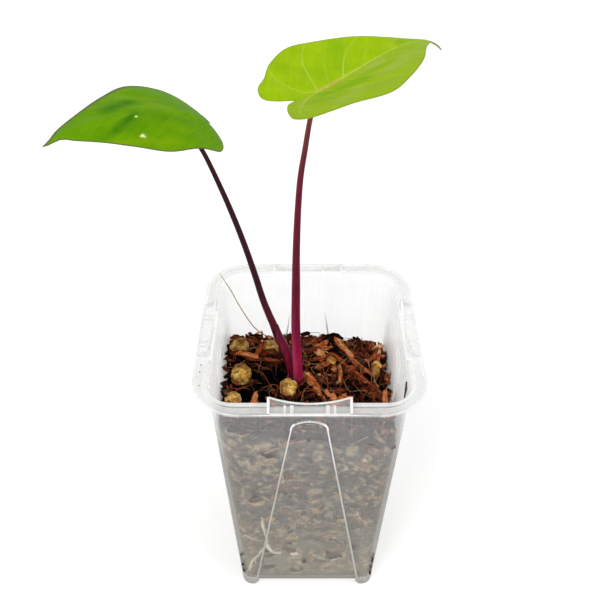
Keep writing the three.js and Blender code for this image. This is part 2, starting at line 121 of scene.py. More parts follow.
# Round tubes. Each is a line of points with a radius for each point.
def tubesShape(tubes, roundness):
    curve = bpy.data.curves.new("tubes", "CURVE")
    curve.dimensions = "3D"
    curve.bevel_depth = 1
    curve.bevel_resolution = roundness
    curve.use_fill_caps = True
    for line, radii in tubes:
        spline = curve.splines.new("POLY")
        spline.points.add(len(line) - 1)
        for point, place, radius in zip(spline.points, line, radii):
            point.co = (*place, 1)
            point.radius = radius
    holder = bpy.data.objects.new("tubes", curve)
    bpy.context.scene.collection.objects.link(holder)
    bm = shapeOf(holder)
    bpy.data.objects.remove(holder)
    bpy.data.curves.remove(curve)
    return bm


def looseObject(name, bm):
    mesh = bpy.data.meshes.new(name)
    bm.to_mesh(mesh)
    bm.free()
    made = bpy.data.objects.new(name, mesh)
    bpy.context.scene.collection.objects.link(made)
    return made


# Adds or cuts each shape in turn, and gives the result as a bmesh.
def carve(bm, steps):
    body = looseObject("body", bm)
    cutters = []
    for operation, shape in steps:
        cutter = looseObject("cutter", shape)
        cutters.append(cutter)
        modifier = body.modifiers.new("carve", "BOOLEAN")
        modifier.operation = operation
        modifier.solver = "MANIFOLD"
        modifier.object = cutter
    result = shapeOf(body)
    for made in [body, *cutters]:
        bpy.data.objects.remove(made)
    return result


# Moves a finished bmesh from millimetres into the frame and makes it a piece of the part.
def makePiece(name, bm, materials, replaced=()):
    bmesh.ops.scale(bm, vec=(mm, mm, mm), verts=bm.verts)
    bmesh.ops.translate(bm, vec=potAxis, verts=bm.verts)
    piece = looseObject(name, bm)
    for material in materials:
        piece.data.materials.append(material)
    piece.data.shade_smooth()
    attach(piece, "root")
    if replaced:
        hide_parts(*replaced)
    print("made", name, "with", len(piece.data.polygons), "faces")
    return piece


# Material helpers

def srgb(red, green, blue):
    def linear(value):
        value /= 255
        return value / 12.92 if value <= 0.04045 else ((value + 0.055) / 1.055) ** 2.4
    return (linear(red), linear(green), linear(blue), 1)


def newMaterial(name, settings):
    material = bpy.data.materials.new(name)
    material.use_nodes = True
    skin = material.node_tree.nodes["Principled BSDF"]
    for socket, value in settings.items():
        skin.inputs[socket].default_value = value
    return material, material.node_tree, skin


def addNode(tree, kind, inputs=None, **settings):
    made = tree.nodes.new(kind)
    for key, value in settings.items():
        setattr(made, key, value)
    for key, value in (inputs or {}).items():
        if isinstance(value, bpy.types.NodeSocket):
            tree.links.new(value, made.inputs[key])
        else:
            made.inputs[key].default_value = value
    return made


def objectSpace(tree, stretch=(1, 1, 1)):
    space = addNode(tree, "ShaderNodeTexCoord").outputs["Object"]
    return addNode(tree, "ShaderNodeMapping", {"Vector": space, "Scale": stretch}).outputs["Vector"]


def heightOf(tree):
    space = addNode(tree, "ShaderNodeTexCoord").outputs["Object"]
    return addNode(tree, "ShaderNodeSeparateXYZ", {"Vector": space}).outputs["Z"]


def attributeOf(tree, name, output="Fac"):
    return addNode(tree, "ShaderNodeAttribute", attribute_name=name).outputs[output]


# Cloudy noise whose patches are about size across, in the units of where.
def cloud(tree, where, size, detail=4.0, roughness=0.55):
    inputs = {"Vector": where, "Scale": 1 / size, "Detail": detail, "Roughness": roughness}
    return addNode(tree, "ShaderNodeTexNoise", inputs).outputs["Fac"]


def cells(tree, where, size, feature="F1"):
    return addNode(tree, "ShaderNodeTexVoronoi", {"Vector": where, "Scale": 1 / size}, feature=feature)


def spread(tree, value, low, high, toLow=0.0, toHigh=1.0):
    inputs = {"Value": value, "From Min": low, "From Max": high, "To Min": toLow, "To Max": toHigh}
    return addNode(tree, "ShaderNodeMapRange", inputs).outputs["Result"]


def calculate(tree, operation, first, second=None):
    inputs = {0: first} if second is None else {0: first, 1: second}
    return addNode(tree, "ShaderNodeMath", inputs, operation=operation).outputs[0]


def colourRamp(tree, value, stops):
    made = addNode(tree, "ShaderNodeValToRGB", {"Fac": value})
    elements = made.color_ramp.elements
    while len(elements) < len(stops):
        elements.new(0.5)
    for element, (place, colour) in zip(elements, stops):
        element.position = place
        element.color = colour
    return made.outputs["Color"]


# The same, with each colour given as red, green and blue up to 255.
def paintRamp(tree, value, stops):
    return colourRamp(tree, value, [(place, srgb(*colour)) for place, colour in stops])


def blendColours(tree, share, first, second):
    return addNode(tree, "ShaderNodeMix", {0: share, 6: first, 7: second}, data_type="RGBA").outputs[2]


# Lays a shade over the colour under it, where share is high and as thickly as strength says.
def lay(tree, share, strength, under, shade):
    return blendColours(tree, calculate(tree, "MULTIPLY", share, strength), under, srgb(*shade))


def addBump(tree, skin, height, strength, depth):
    bump = addNode(tree, "ShaderNodeBump", {"Height": height, "Strength": strength, "Distance": depth})
    tree.links.new(bump.outputs["Normal"], skin.inputs["Normal"])


# Camera, at the photograph's angle

view = {
    "place": (-3.2, -185.9, 306.2),
    "pitch": 40.82,             # degrees below the horizon
    "focal": 697.9,             # pixels, on a frame 600 pixels wide
    "frameWidth": 600,
    "sensor": 36.0,
}

camera = bpy.data.objects.new("camera", bpy.data.cameras.new("camera"))
camera.data.sensor_width = view["sensor"]
camera.data.lens = view["sensor"] * view["focal"] / view["frameWidth"]
camera.data.clip_start = 0.01
camera.location = Vector(view["place"]) * mm + potAxis
camera.rotation_euler = (math.radians(90 - view["pitch"]), 0, 0)
bpy.context.scene.collection.objects.link(camera)
bpy.context.scene.camera = camera


# Floor and light

studio = {
    "floorSize": 8.0,
    "floorColour": (0.66, 0.66, 0.66, 1),
    "floorGlow": 0.48,          # keeps the floor's shadow as faint as on the photograph's white ground
    "skyHigh": 0.34,            # darker overhead, so that glossy leaves keep their colour
    "skyLow": 0.95,
    "skyFade": (0.15, 0.45),    # where it darkens, from 0 at the horizon to 1 overhead
    "aimHeight": 0.12,
    "lamps": [
        # place in metres from the pot, size, power in watts
        ("keyLamp", (-1.2, -1.5, 2.2), 1.4, 34.0),
        ("fillLamp", (1.9, -0.9, 1.7), 1.8, 15.0),
        ("topLamp", (0.2, 0.2, 2.6), 1.8, 17.0),
    ],
}


def makeStudio():
    bm = bmesh.new()
    bmesh.ops.create_grid(bm, x_segments=1, y_segments=1, size=studio["floorSize"] / 2)
    floor = looseObject("floor", bm)
    material, tree, skin = newMaterial("paleFloor", {"Roughness": 0.9, "Specular IOR Level": 0.1})
    skin.inputs["Base Color"].default_value = studio["floorColour"]
    skin.inputs["Emission Color"].default_value = (1, 1, 1, 1)
    skin.inputs["Emission Strength"].default_value = studio["floorGlow"]
    floor.data.materials.append(material)
    world = bpy.data.worlds.new("studioSky")
    world.use_nodes = True
    sky = world.node_tree
    direction = addNode(sky, "ShaderNodeTexCoord").outputs["Generated"]
    height = addNode(sky, "ShaderNodeSeparateXYZ", {"Vector": direction}).outputs["Z"]
    strength = spread(sky, height, *studio["skyFade"], studio["skyLow"], studio["skyHigh"])
    sky.links.new(strength, sky.nodes["Background"].inputs["Strength"])
    sky.nodes["Background"].inputs["Color"].default_value = (1, 1, 1, 1)
    bpy.context.scene.world = world
    for name, place, size, power in studio["lamps"]:
        lamp = bpy.data.objects.new(name, bpy.data.lights.new(name, "AREA"))
        lamp.data.shape = "DISK"
        lamp.data.size = size
        lamp.data.energy = power
        lamp.location = potAxis + Vector(place)
        aim = potAxis + Vector((0, 0, studio["aimHeight"])) - lamp.location
        lamp.rotation_euler = aim.to_track_quat("-Z", "Y").to_euler()
        bpy.context.scene.collection.objects.link(lamp)
    bpy.context.scene.view_settings.view_transform = "Standard"


makeStudio()
print("studio ready")


# Pot

pot = {
    "rimHeight": 131, "rimHalf": 40, "rimCorner": 17, "mouthHalf": 34.7, "mouthCorner": 9,
    "flangeThick": 1.3, "flangeStep": 0.5,
    "wallTopHalf": 34.7, "wallFootHalf": 29.4, "wallTopCorner": 9, "wallFootCorner": 4.5, "wallThick": 1.0,
    "floorUnder": 3, "floorThick": 1.2, "footThick": 1.8,
    "earHalf": 13.1, "earRise": 3, "earThick": 0.85, "earFoot": 3, "earSteps": 36,
    "pocketDepth": 0.25, "pocketMargin": 0.9,
    "ribs": [(-8.2, 0.8), (-5.9, 1.2), (5.9, 1.2), (8.2, 0.8)],      # place along the side, width
    "archFootHalf": 22.5, "archShoulderHalf": 6.1, "archShoulder": 115.5, "archTop": 120,
    "archFootDepth": 1.0, "archTopDepth": 0.35,
    "drains": [(0, 0, 4), (14, 14, 3), (-14, 14, 3), (-14, -14, 3), (14, -14, 3)],      # x, y, radius
    "slotWidth": 1.6, "slotFrom": 6, "slotTo": 26,
    "cornerTurns": 14, "softEdge": 0.16, "softAngle": 28,
}
gap = 0.3                       # between the mix and the inside of the wall


def wallHalf(z):
    return lerp(pot["wallFootHalf"], pot["wallTopHalf"], z / pot["rimHeight"])


def wallCorner(z):
    return lerp(pot["wallFootCorner"], pot["wallTopCorner"], z / pot["rimHeight"])


def roundedSquare(half, corner, z, turns=pot["cornerTurns"]):
    points = []
    for quarter in range(4):
        start = quarter * math.pi / 2
        reach = (half - corner) * math.sqrt(2)
        cx, cy = reach * math.cos(start + math.pi / 4), reach * math.sin(start + math.pi / 4)
        for k in range(turns + 1):
            angle = start + k / turns * math.pi / 2
            points.append(Vector((cx + corner * math.cos(angle), cy + corner * math.sin(angle), z)))
    return points


def insideRing(z, inset, turns=pot["cornerTurns"]):
    drawn = pot["wallThick"] + inset
    return roundedSquare(wallHalf(z) - drawn, wallCorner(z) - drawn, z, turns)


def edgesAround(ring):
    members = set(ring)
    return [e for e in {e for v in ring for e in v.link_edges} if members.issuperset(e.verts)]


# Closed shape through rings of the same count of points.
def loft(rings):
    bm = bmesh.new()
    made = []
    for points in rings:
        ring = bmesh.ops.create_circle(bm, segments=len(points), radius=1)["verts"]
        for vert, point in zip(ring, points):
            vert.co = point
        made.append(ring)
    for low, high in zip(made, made[1:]):
        bmesh.ops.bridge_loops(bm, edges=edgesAround(low) + edgesAround(high))
    for end in (made[0], made[-1]):
        bmesh.ops.contextual_create(bm, geom=edgesAround(end))
    bmesh.ops.recalc_face_normals(bm, faces=bm.faces)
    return bm


def addBox(bm, x0, x1, y0, y1, z0, z1):
    middle = Matrix.Translation(((x0 + x1) / 2, (y0 + y1) / 2, (z0 + z1) / 2))
    bmesh.ops.create_cube(bm, size=1, matrix=middle @ Matrix.Diagonal((x1 - x0, y1 - y0, z1 - z0, 1)))


# Repeats what is on the front side on the other three.
def onFourSides(bm):
    geometry = bm.verts[:] + bm.edges[:] + bm.faces[:]
    bmesh.ops.spin(
        bm, geom=geometry, cent=(0, 0, 0), axis=(0, 0, 1), angle=math.radians(270), steps=3,
        use_duplicate=True,
    )
    return bm


def archFace(z):
    foot = pot["wallFootHalf"] - pot["archFootDepth"]
    top = wallHalf(pot["archTop"]) - pot["archTopDepth"]
    return foot + (top - foot) * z / pot["archTop"]


def archHalf(z):
    return lerp(pot["archFootHalf"], pot["archShoulderHalf"], z / pot["archShoulder"])


# The arch's recess, as a block for all four sides. Its edge slopes at 45 degrees, as a moulded step does,
# and the outer cut has a shallow band round it, widest over the top, that catches the light.
def archBlock(widened, behind, band=False):
    low, reach, turns = -5, 41, 28
    shoulder, rise = pot["archShoulder"], pot["archTop"] - pot["archShoulder"]
    shallow = 0.04              # depth of the band under the wall's face, and its rise over it

    def ring(distanceAt, bandShare):
        points = []
        for k in range(-1, turns + 2):
            angle = clamp(k / turns) * math.pi
            level = low if k in (-1, turns + 1) else shoulder + rise * math.sin(angle)
            out = distanceAt(level)
            more = max(0, out - archFace(level) + behind) + widened
            more = min(more, wallHalf(level) - archFace(level) + widened)
            more += bandShare * lerp(0.15, 0.75, math.sin(angle))
            if k in (-1, turns + 1):
                points.append(Vector((math.copysign(archHalf(low) + more, turns / 2 - k), -out, low)))
            else:
                wide, high = pot["archShoulderHalf"] + more, rise + more
                points.append(Vector((wide * math.cos(angle), -out, shoulder + high * math.sin(angle))))
        return points

    rings = [ring(lambda z: archFace(z) - behind, 0)]
    if band:
        rings.append(ring(lambda z: wallHalf(z) - shallow, 0))
        rings.append(ring(lambda z: wallHalf(z) + shallow, 2))
        rings.append(ring(lambda z: reach, 2))
    else:
        rings.append(ring(lambda z: wallHalf(z) - behind, 0))
        rings.append(ring(lambda z: reach, 0))
    return onFourSides(loft(rings))


# How far a place on a side lies outside the arch's outline.
def beyondArch(along, z):
    if z < pot["archShoulder"]:
        return abs(along) - archHalf(z)
    half, rise = pot["archShoulderHalf"], pot["archTop"] - pot["archShoulder"]
    return (math.hypot(along / half, (z - pot["archShoulder"]) / rise) - 1) * rise


def ears():
    half, thick, rim = pot["earHalf"], pot["earThick"], pot["rimHeight"]
    radius = (half ** 2 + pot["earRise"] ** 2) / (2 * pot["earRise"])
    foot, peak = rim - pot["earFoot"], rim + pot["earRise"]
    outline = [(-half - thick, foot), (half + thick, foot), (half + thick, peak)]
    for k in range(pot["earSteps"] + 1):
        x = lerp(half, -half, k / pot["earSteps"])
        outline.append((x, rim + radius - math.sqrt(radius ** 2 - x ** 2)))
    outline.append((-half - thick, peak))
    front, back = -pot["mouthHalf"] - thick, -pot["mouthHalf"] + 0.6
    return onFourSides(loft([[Vector((x, y, z)) for x, z in outline] for y in (front, back)]))


def earPockets():
    bm = bmesh.new()
    half, top = pot["earHalf"], pot["rimHeight"]
    front, back = pot["pocketMargin"] - pot["rimHalf"], -pot["mouthHalf"] - pot["earThick"]
    addBox(bm, -half, half, front, back, top - pot["flangeStep"] - pot["pocketDepth"], top + 6)
    return onFourSides(bm)


def earTrim():
    mouth, rim, thick = pot["mouthHalf"], pot["rimHeight"], pot["earThick"]
    inner, outer, peak = -mouth - 0.2, 0.4 - pot["rimHalf"], rim + pot["earRise"]
    profile = [(inner, rim - 1), (inner, peak), (-mouth - thick, peak), (outer, rim + 0.3), (outer, rim - 1)]
    bm = bmesh.new()
    for side in (-1, 1):
        places = [side * pot["earHalf"], side * (pot["earHalf"] + thick)]
        pour(bm, loft([[Vector((x, y, z)) for y, z in profile] for x in places]))
    for x, width in pot["ribs"]:
        addBox(bm, x - width / 2, x + width / 2, 0.6 - pot["rimHalf"], -mouth - 0.5, rim - 1, rim - 0.25)
    return onFourSides(bm)


def potShape():
    top = pot["rimHeight"]
    under = top - pot["flangeThick"]
    rim, rimCorner = pot["rimHalf"], pot["rimCorner"]
    mouth, mouthCorner = pot["mouthHalf"], pot["mouthCorner"]
    # Up the wall, out under the flange, over its bead, along its lower step and up to the mouth
    body = loft([
        roundedSquare(wallHalf(0), wallCorner(0), 0),
        roundedSquare(wallHalf(under), wallCorner(under), under),
        roundedSquare(rim - 0.2, rimCorner - 0.2, under),
        roundedSquare(rim, rimCorner, under + 0.3),
        roundedSquare(rim, rimCorner, top - 0.4),
        roundedSquare(rim - 0.4, rimCorner - 0.4, top - 0.1),
        roundedSquare(rim - 0.9, rimCorner - 0.9, top - 0.1),
        roundedSquare(rim - 1.2, rimCorner - 1.2, top - pot["flangeStep"]),
        roundedSquare(mouth + 1.9, mouthCorner + 3.2, top - pot["flangeStep"]),
        roundedSquare(mouth + 1.6, mouthCorner + 2.6, top),
        roundedSquare(mouth - 2, mouthCorner - 1, top),
    ])
    funnel = top - 2.6          # from here up the inside widens to the mouth
    floorTop = pot["floorUnder"] + pot["floorThick"]
    cavity = loft([
        insideRing(floorTop, 0),
        insideRing(funnel, 0),
        roundedSquare(mouth - 0.2, mouthCorner - 0.2, top - 0.5),
        roundedSquare(mouth, mouthCorner, top + 0.01),
        roundedSquare(mouth, mouthCorner, top + 5),
    ])
    cavity = carve(cavity, [("DIFFERENCE", archBlock(0.4, pot["wallThick"]))])
    footInner = pot["wallFootHalf"] - pot["footThick"]
    underWay = pot["archFootHalf"] - 0.4
    underBoxes = []
    for across, along in ((footInner, footInner), (underWay, rim), (rim, underWay)):
        bm = bmesh.new()
        addBox(bm, -across, across, -along, along, -1, pot["floorUnder"])
        underBoxes.append(("DIFFERENCE", bm))
    drains = bmesh.new()
    for x, y, radius in pot["drains"]:
        bmesh.ops.create_cone(
            drains, cap_ends=True, segments=40, radius1=radius, radius2=radius, depth=10,
            matrix=Matrix.Translation((x, y, 3)),
        )
    slot = bmesh.new()
    addBox(slot, 30, 50, -pot["slotWidth"] / 2, pot["slotWidth"] / 2, pot["slotFrom"], pot["slotTo"])
    bmesh.ops.rotate(slot, verts=slot.verts, cent=(0, 0, 0), matrix=Matrix.Rotation(math.pi / 4, 3, "Z"))
    return carve(body, [
        ("DIFFERENCE", archBlock(0, 0, band=True)),
        ("UNION", ears()),
        ("DIFFERENCE", earPockets()),
        ("UNION", earTrim()),
        ("DIFFERENCE", cavity),
        *underBoxes,
        ("DIFFERENCE", drains),
        ("DIFFERENCE", onFourSides(slot)),
    ])


# How milky a face of the clear plastic looks: thick edges, steps and ribs hide more than the flat wall.
milk = {
    "wall": 0.12, "archStep": 0.95, "archStepInside": 0.16, "floor": 0.5,
    "bead": 0.8, "lip": 0.4, "flat": 0.59, "riser": 0.1, "underRim": 0.34, "mouth": 0.2,
    "earEdge": 0.9, "earFace": 0.12, "earEnd": 0.6, "rib": 0.82, "pocket": 0.46,
    "fadeUnder": 124,           # height under which the steps of the side and back walls can fade
}


def milkAt(centre, normal):
    x, y, z = centre
    cornerFrom = 23             # the rim's corners turn about this place on both axes
    inCorner = min(abs(x), abs(y)) > cornerFrom
    if inCorner:
        side = Vector((math.copysign(abs(x) - cornerFrom, x), math.copysign(abs(y) - cornerFrom, y), 0))
        out, along = cornerFrom + side.length, 0
    elif abs(y) >= abs(x):
        side, out, along = Vector((0, y, 0)), abs(y), x
    else:
        side, out, along = Vector((x, 0, 0)), abs(x), y
    facing = normal.dot(side.normalized())
    top, mouth = pot["rimHeight"], pot["mouthHalf"]
    upward, downward = normal.z > 0.6, normal.z < -0.6
    inEar = not inCorner and abs(along) < pot["earHalf"] + pot["earThick"] + 0.1 and out > mouth - 0.05
    if inEar and z > top - 3.1:
        if upward:
            raised = z > top + 0.05 or abs(along) > pot["earHalf"] - 0.1
            return milk["earEdge"] if raised else milk["rib"] if z > top - 0.4 else milk["pocket"]
        if downward:
            return milk["riser"]
        return milk["earEnd"] if abs(facing) < 0.6 else milk["earFace"] if facing > 0 else milk["mouth"]
    if z > top - pot["flangeThick"] - 0.05:
        if upward:
            return milk["bead"] if z > top - 0.04 else milk["lip"] if z > top - 0.25 else milk["flat"]
        if downward:
            return milk["underRim"]
        if facing > 0:
            return milk["riser"] if out < 38 else milk["lip"]
        return milk["riser"] if out > 38 else milk["mouth"]
    if abs(normal.z) > 0.75 and z < 6:
        return milk["floor"]
    if not inCorner and z > 0.5 and out > archFace(z) - 1.5:
        beyond = beyondArch(along, z)
        depth = wallHalf(z) - archFace(z)
        band = depth + 0.08 + (0.48 if z > pot["archShoulder"] + 1 else 0.25)
        if out > archFace(z) - 0.4 and -0.05 < beyond < band and facing > 0:
            return milk["archStep"]
        if abs(facing) < 0.92:
            return milk["archStepInside"]
    return milk["wall"]


def clearPlastic():
    material, tree, skin = newMaterial("clearPlastic", {"Roughness": 0.3, "Specular IOR Level": 0.5})
    where = objectSpace(tree)
    patches = spread(tree, cloud(tree, where, 0.03, 3), 0.3, 0.7, 0.88, 1.12)
    facing = addNode(tree, "ShaderNodeLayerWeight", {"Blend": 0.5}).outputs["Facing"]
    drawn = spread(tree, cloud(tree, objectSpace(tree, (1, 1, 0.04)), 0.0012, 3), 0.35, 0.65, 0.93, 1.07)
    patches = calculate(tree, "MULTIPLY", patches, drawn)
    height = heightOf(tree)
    # The mix shows in the bent light at the wall's edges, up to the height that it fills.
    filled = spread(tree, height, 0.116, 0.09)
    grazing = calculate(tree, "MULTIPLY", calculate(tree, "POWER", facing, 2.6), 0.3)
    mostAtEdge = calculate(tree, "MULTIPLY", filled, 0.55)
    atEdge = calculate(tree, "MULTIPLY", spread(tree, facing, 0.6, 0.88), mostAtEdge)
    grazing = calculate(tree, "ADD", grazing, atEdge)
    # With no dark mix behind them, the arches' steps hardly show.
    fading = calculate(tree, "MULTIPLY", attributeOf(tree, "fading"), spread(tree, height, 0.102, 0.111))
    milky = calculate(tree, "MULTIPLY", attributeOf(tree, "milk"), calculate(tree, "SUBTRACT", 1.0, fading))
    haze = calculate(tree, "MULTIPLY", patches, milky)
    clear = calculate(tree, "SUBTRACT", 1.0, haze)
    # Darker at the foot: the lowest few millimetres are tinted dark, as painted shade at the pot's foot.
    tint = colourRamp(tree, spread(tree, height, 0.0, pot["rimHeight"] * mm), [
        (0.0, (0.30, 0.28, 0.25, 1)), (0.03, (0.34, 0.32, 0.28, 1)), (0.045, (0.75, 0.71, 0.63, 1)),
        (0.6, (0.71, 0.685, 0.645, 1)), (0.85, (0.70, 0.68, 0.675, 1)), (0.965, (0.70, 0.705, 0.71, 1)),
        (0.985, (0.84, 0.845, 0.845, 1)),
    ])
    milkiest = spread(tree, attributeOf(tree, "milk"), 0.66, 0.76)
    white = calculate(tree, "MULTIPLY", milkiest, spread(tree, height, 0.004, 0.012))
    tint = blendColours(tree, white, tint, (0.92, 0.925, 0.925, 1))
    # Painted refraction: where the mix fills, the tint darkens at grazing angles, as the dark mix seen
    # through the bent plastic at the wall's edges.
    edge = calculate(tree, "MULTIPLY", spread(tree, facing, 0.42, 0.8), filled)
    tint = blendColours(tree, edge, tint, (0.25, 0.235, 0.21, 1))
    tree.links.new(tint, skin.inputs["Base Color"])
    alpha = calculate(tree, "ADD", haze, calculate(tree, "MULTIPLY", grazing, clear))
    # The foot is also less clear, to carry that painted shade.
    foot = calculate(tree, "MULTIPLY", spread(tree, height, 0.0042, 0.0032), 0.3)
    tree.links.new(calculate(tree, "ADD", alpha, foot), skin.inputs["Alpha"])
    addBump(tree, skin, cloud(tree, where, 0.004, 3), 0.06, 0.0004)
    return material


def makePot():
    bm = potShape()
    bmesh.ops.remove_doubles(bm, verts=bm.verts, dist=0.004)
    bmesh.ops.dissolve_limit(bm, angle_limit=math.radians(0.6), verts=bm.verts, edges=bm.edges)
    softFrom = math.radians(pot["softAngle"])
    sharp = [e for e in bm.edges if e.is_manifold and e.calc_face_angle() > softFrom]
    bmesh.ops.bevel(
        bm, geom=sharp, offset=pot["softEdge"], offset_type="OFFSET", affect="EDGES", segments=2,
        profile=0.5, material=-1, clamp_overlap=True,
    )
    bmesh.ops.triangulate(bm, faces=[f for f in bm.faces if len(f.verts) > 4])
    bm.normal_update()
    layer, fading = bm.faces.layers.float.new("milk"), bm.faces.layers.float.new("fading")
    for face in bm.faces:
        centre = face.calc_center_median()
        face[layer] = milkAt(centre, face.normal)
        notFront = centre.y > -abs(centre.x)
        if centre.z < milk["fadeUnder"] and notFront and face[layer] > milk["wall"] + 0.01:
            face[fading] = 1 - milk["wall"] / face[layer]       # down to the milk of the wall round it
    piece = makePiece("nurseryPot", bm, [clearPlastic()], ["pot"])
    weighted = piece.modifiers.new("evenShading", "WEIGHTED_NORMAL")
    weighted.keep_sharp = True
    return piece


makePot()


# Potting mix

mix = {
    "level": 107.5, "tilt": -0.15, "backFall": 0.009, "frontFall": 0.002,
    "floor": pot["floorUnder"] + pot["floorThick"] + gap,
    "backLeftDip": 3.2, "frontRise": 5.0,
    "coreInset": 0.2,          # the core stands this much further in from the wall than the gap
    "coreSink": 2.8,            # and this far under the chips on top
    "reach": 32,                # chips are tried this far from the axis, and kept if inside the pot
    "flakes": 740, "flakeLength": (2.2, 6.8), "flakeWidth": (0.2, 0.5), "flakeThick": (0.7, 1.5),
    "flakeBends": (0.2, -0.3, 0.5, 0.1, -0.15, 0.35, 0.05, -0.4),
    "splinters": 520, "splinterLength": (2.6, 7.5), "splinterThick": (0.25, 0.7),
    "rimFlakes": 150, "rimFlakeWidth": (1.0, 2.4),
    "wallFlakes": 44, "wallFlakeWidth": (0.25, 0.6),
    "edgeFlakeLength": (2.5, 6.5), "edgeFlakeThick": (0.7, 1.3),        # of both
    "crumbs": 500, "crumbSize": (0.6, 2.0), "slotCrumbs": 22, "slotCrumbSize": (0.45, 1.2),
    "flangeCrumbs": [(-37.6, -17.2, 130.65), (-37.7, -20.5, 130.65), (-37.2, -26.7, 130.65)],
}


def mixHeight(x, y):
    fall = (mix["backFall"] if y > 0 else mix["frontFall"]) * y * y
    fall += mix["backLeftDip"] * smoothStep(8, 26, y) * smoothStep(2, -16, x)
    lump = 0.9 * math.sin(0.42 * x + 1.3) * math.cos(0.37 * y - 0.6) + 0.6 * math.sin(0.83 * x - 0.71 * y)
    return mix["level"] + mix["tilt"] * x - fall + lump + mix["frontRise"] * smoothStep(-23, -32, y)


# Distance from the pot's axis to the inside of a wall, at a place along the wall and a height.
def wallInside(along, z):
    if abs(along) < archHalf(z) + pot["wallThick"] and z < pot["archTop"]:
        return archFace(z) - pot["wallThick"]
    return wallHalf(z) - pot["wallThick"]


def coreTop(x, y):
    return mixHeight(x, y) - mix["coreSink"]


def mixCore():
    turns, inset = 20, gap + mix["coreInset"]
    rings = []
    for k in range(49):
        ring = []
        for i, q in enumerate(insideRing(100, inset, turns)):
            z = lerp(mix["floor"], coreTop(q.x, q.y), k / 48)
            ring.append(insideRing(z, inset, turns)[i])
        rings.append(ring)
    for share in (0.97, 0.94, 0.86, 0.77, 0.67, 0.57, 0.47, 0.37, 0.27, 0.17, 0.08):
        ring = [q * share for q in insideRing(100, inset, turns)]
        rings.append([Vector((q.x, q.y, coreTop(q.x, q.y))) for q in ring])
    bm = loft(rings)
    long = [
        e for e in bm.edges
        if e.calc_length() > 3.5 and abs(e.verts[0].co.xy.length - e.verts[1].co.xy.length) < 2
    ]
    bmesh.ops.subdivide_edges(bm, edges=long, cuts=23, use_grid_fill=True)
    bm.normal_update()
    for vert in bm.verts:
        x, y, z = vert.co
        rough = 0.5 * ripple(x * 0.3, y * 0.3, z * 0.3) + 0.35 * ripple(x * 0.8, y * 0.8, z * 0.8)
        if z < coreTop(x, y) - 0.4:
            if abs(y) > abs(x):
                side, along, distance = Vector((0, math.copysign(1, y), 0)), x, abs(y)
            else:
                side, along, distance = Vector((math.copysign(1, x), 0, 0)), y, abs(x)
            vert.co -= side * max(0, distance - wallInside(along, z) + inset)
            vert.co += vert.normal * min(0, rough - 0.05)
        else:
            vert.co.z += rough * 2 - 0.5
        vert.co.z = max(vert.co.z, mix["floor"])
    bmesh.ops.triangulate(bm, faces=[f for f in bm.faces if len(f.verts) > 4])
    bm.normal_update()
    for face in bm.faces:
        centre = face.calc_center_median()
        # The top faces, but for the front, take the near-black soil painted as shade in the gaps.
        face.material_index = 1 if centre.z > 86 and face.normal.z > 0.5 and centre.y > -25 else 0
    return bm


# A finished chip as a mesh, with room for its tone.
def templateOf(bm):
    mesh = bpy.data.meshes.new("chip")
    bm.to_mesh(mesh)
    bm.free()
    mesh.attributes.new("tone", "FLOAT", "POINT")
    return mesh


# A flake of husk or bark: long in X, with ragged sides and ends, ridges along it and a bend. One unit long.
def flakeMesh(seed, bend):
    rng = random.Random(seed)
    bm = bmesh.new()
    bmesh.ops.create_cube(bm, size=1)
    for axis, cuts in ((0, 7), (1, 2)):
        edges = [e for e in bm.edges if abs(e.verts[0].co[axis] - e.verts[1].co[axis]) > 0.9]
        bmesh.ops.subdivide_edges(bm, edges=edges, cuts=cuts, use_grid_fill=True)
    teeth = [[rng.uniform(-0.2, 0.06) for _ in range(4)] for _ in range(2)]
    grain = bm.verts.layers.float_vector.new("grain")
    for vert in bm.verts:
        x, y, z = vert.co
        end = abs(x) * 2
        row = round((y + 0.5) * 3)
        narrow = 1 - 0.3 * end ** 4 + 0.5 * ripple(x * 3.1, seed * 1.7, 2 if y > 0 else 7)
        vert.co.y = y * narrow + 0.16 * ripple(x * 1.4, seed, 4)
        vert.co.z = z * (1 - 0.35 * end ** 4) + 0.4 * ripple(x * 1.1, y * 5, seed + 0.5) + bend * x * x
        if end > 0.95:
            vert.co.x = x + math.copysign(teeth[0 if x < 0 else 1][row], x)
        vert[grain] = (x + seed, y, z)
    bmesh.ops.recalc_face_normals(bm, faces=bm.faces)
    return templateOf(bm)


# A thin sliver, pointed at both ends.
def splinterMesh(seed):
    bm = bmesh.new()
    bmesh.ops.create_cone(
        bm, cap_ends=True, segments=4, radius1=0.5, radius2=0.5, depth=1,
        matrix=Matrix.Rotation(math.pi / 2, 4, "Y"),
    )
    lengthways = [e for e in bm.edges if abs(e.verts[0].co.x - e.verts[1].co.x) > 0.9]
    bmesh.ops.subdivide_edges(bm, edges=lengthways, cuts=4)
    grain = bm.verts.layers.float_vector.new("grain")
    for vert in bm.verts:
        x, y, z = vert.co
        thin = 1 - 0.85 * (abs(x) * 2) ** 3
        vert[grain] = (x + seed, y, z)
        vert.co = (x, y * thin + 1.6 * ripple(x * 2, seed, 0.5), z * thin + 1.6 * ripple(x * 2, seed, 5.5))
    bmesh.ops.recalc_face_normals(bm, faces=bm.faces)
    return templateOf(bm)


def crumbMesh(seed):
    bm = bmesh.new()
    bmesh.ops.create_icosphere(bm, subdivisions=1, radius=0.5)
    grain = bm.verts.layers.float_vector.new("grain")
    for vert in bm.verts:
        vert.co *= 1 + 0.5 * ripple(vert.co.x * 3, vert.co.y * 3, vert.co.z * 3 + seed)
        vert[grain] = vert.co + Vector((seed, 0, 0))
    return templateOf(bm)


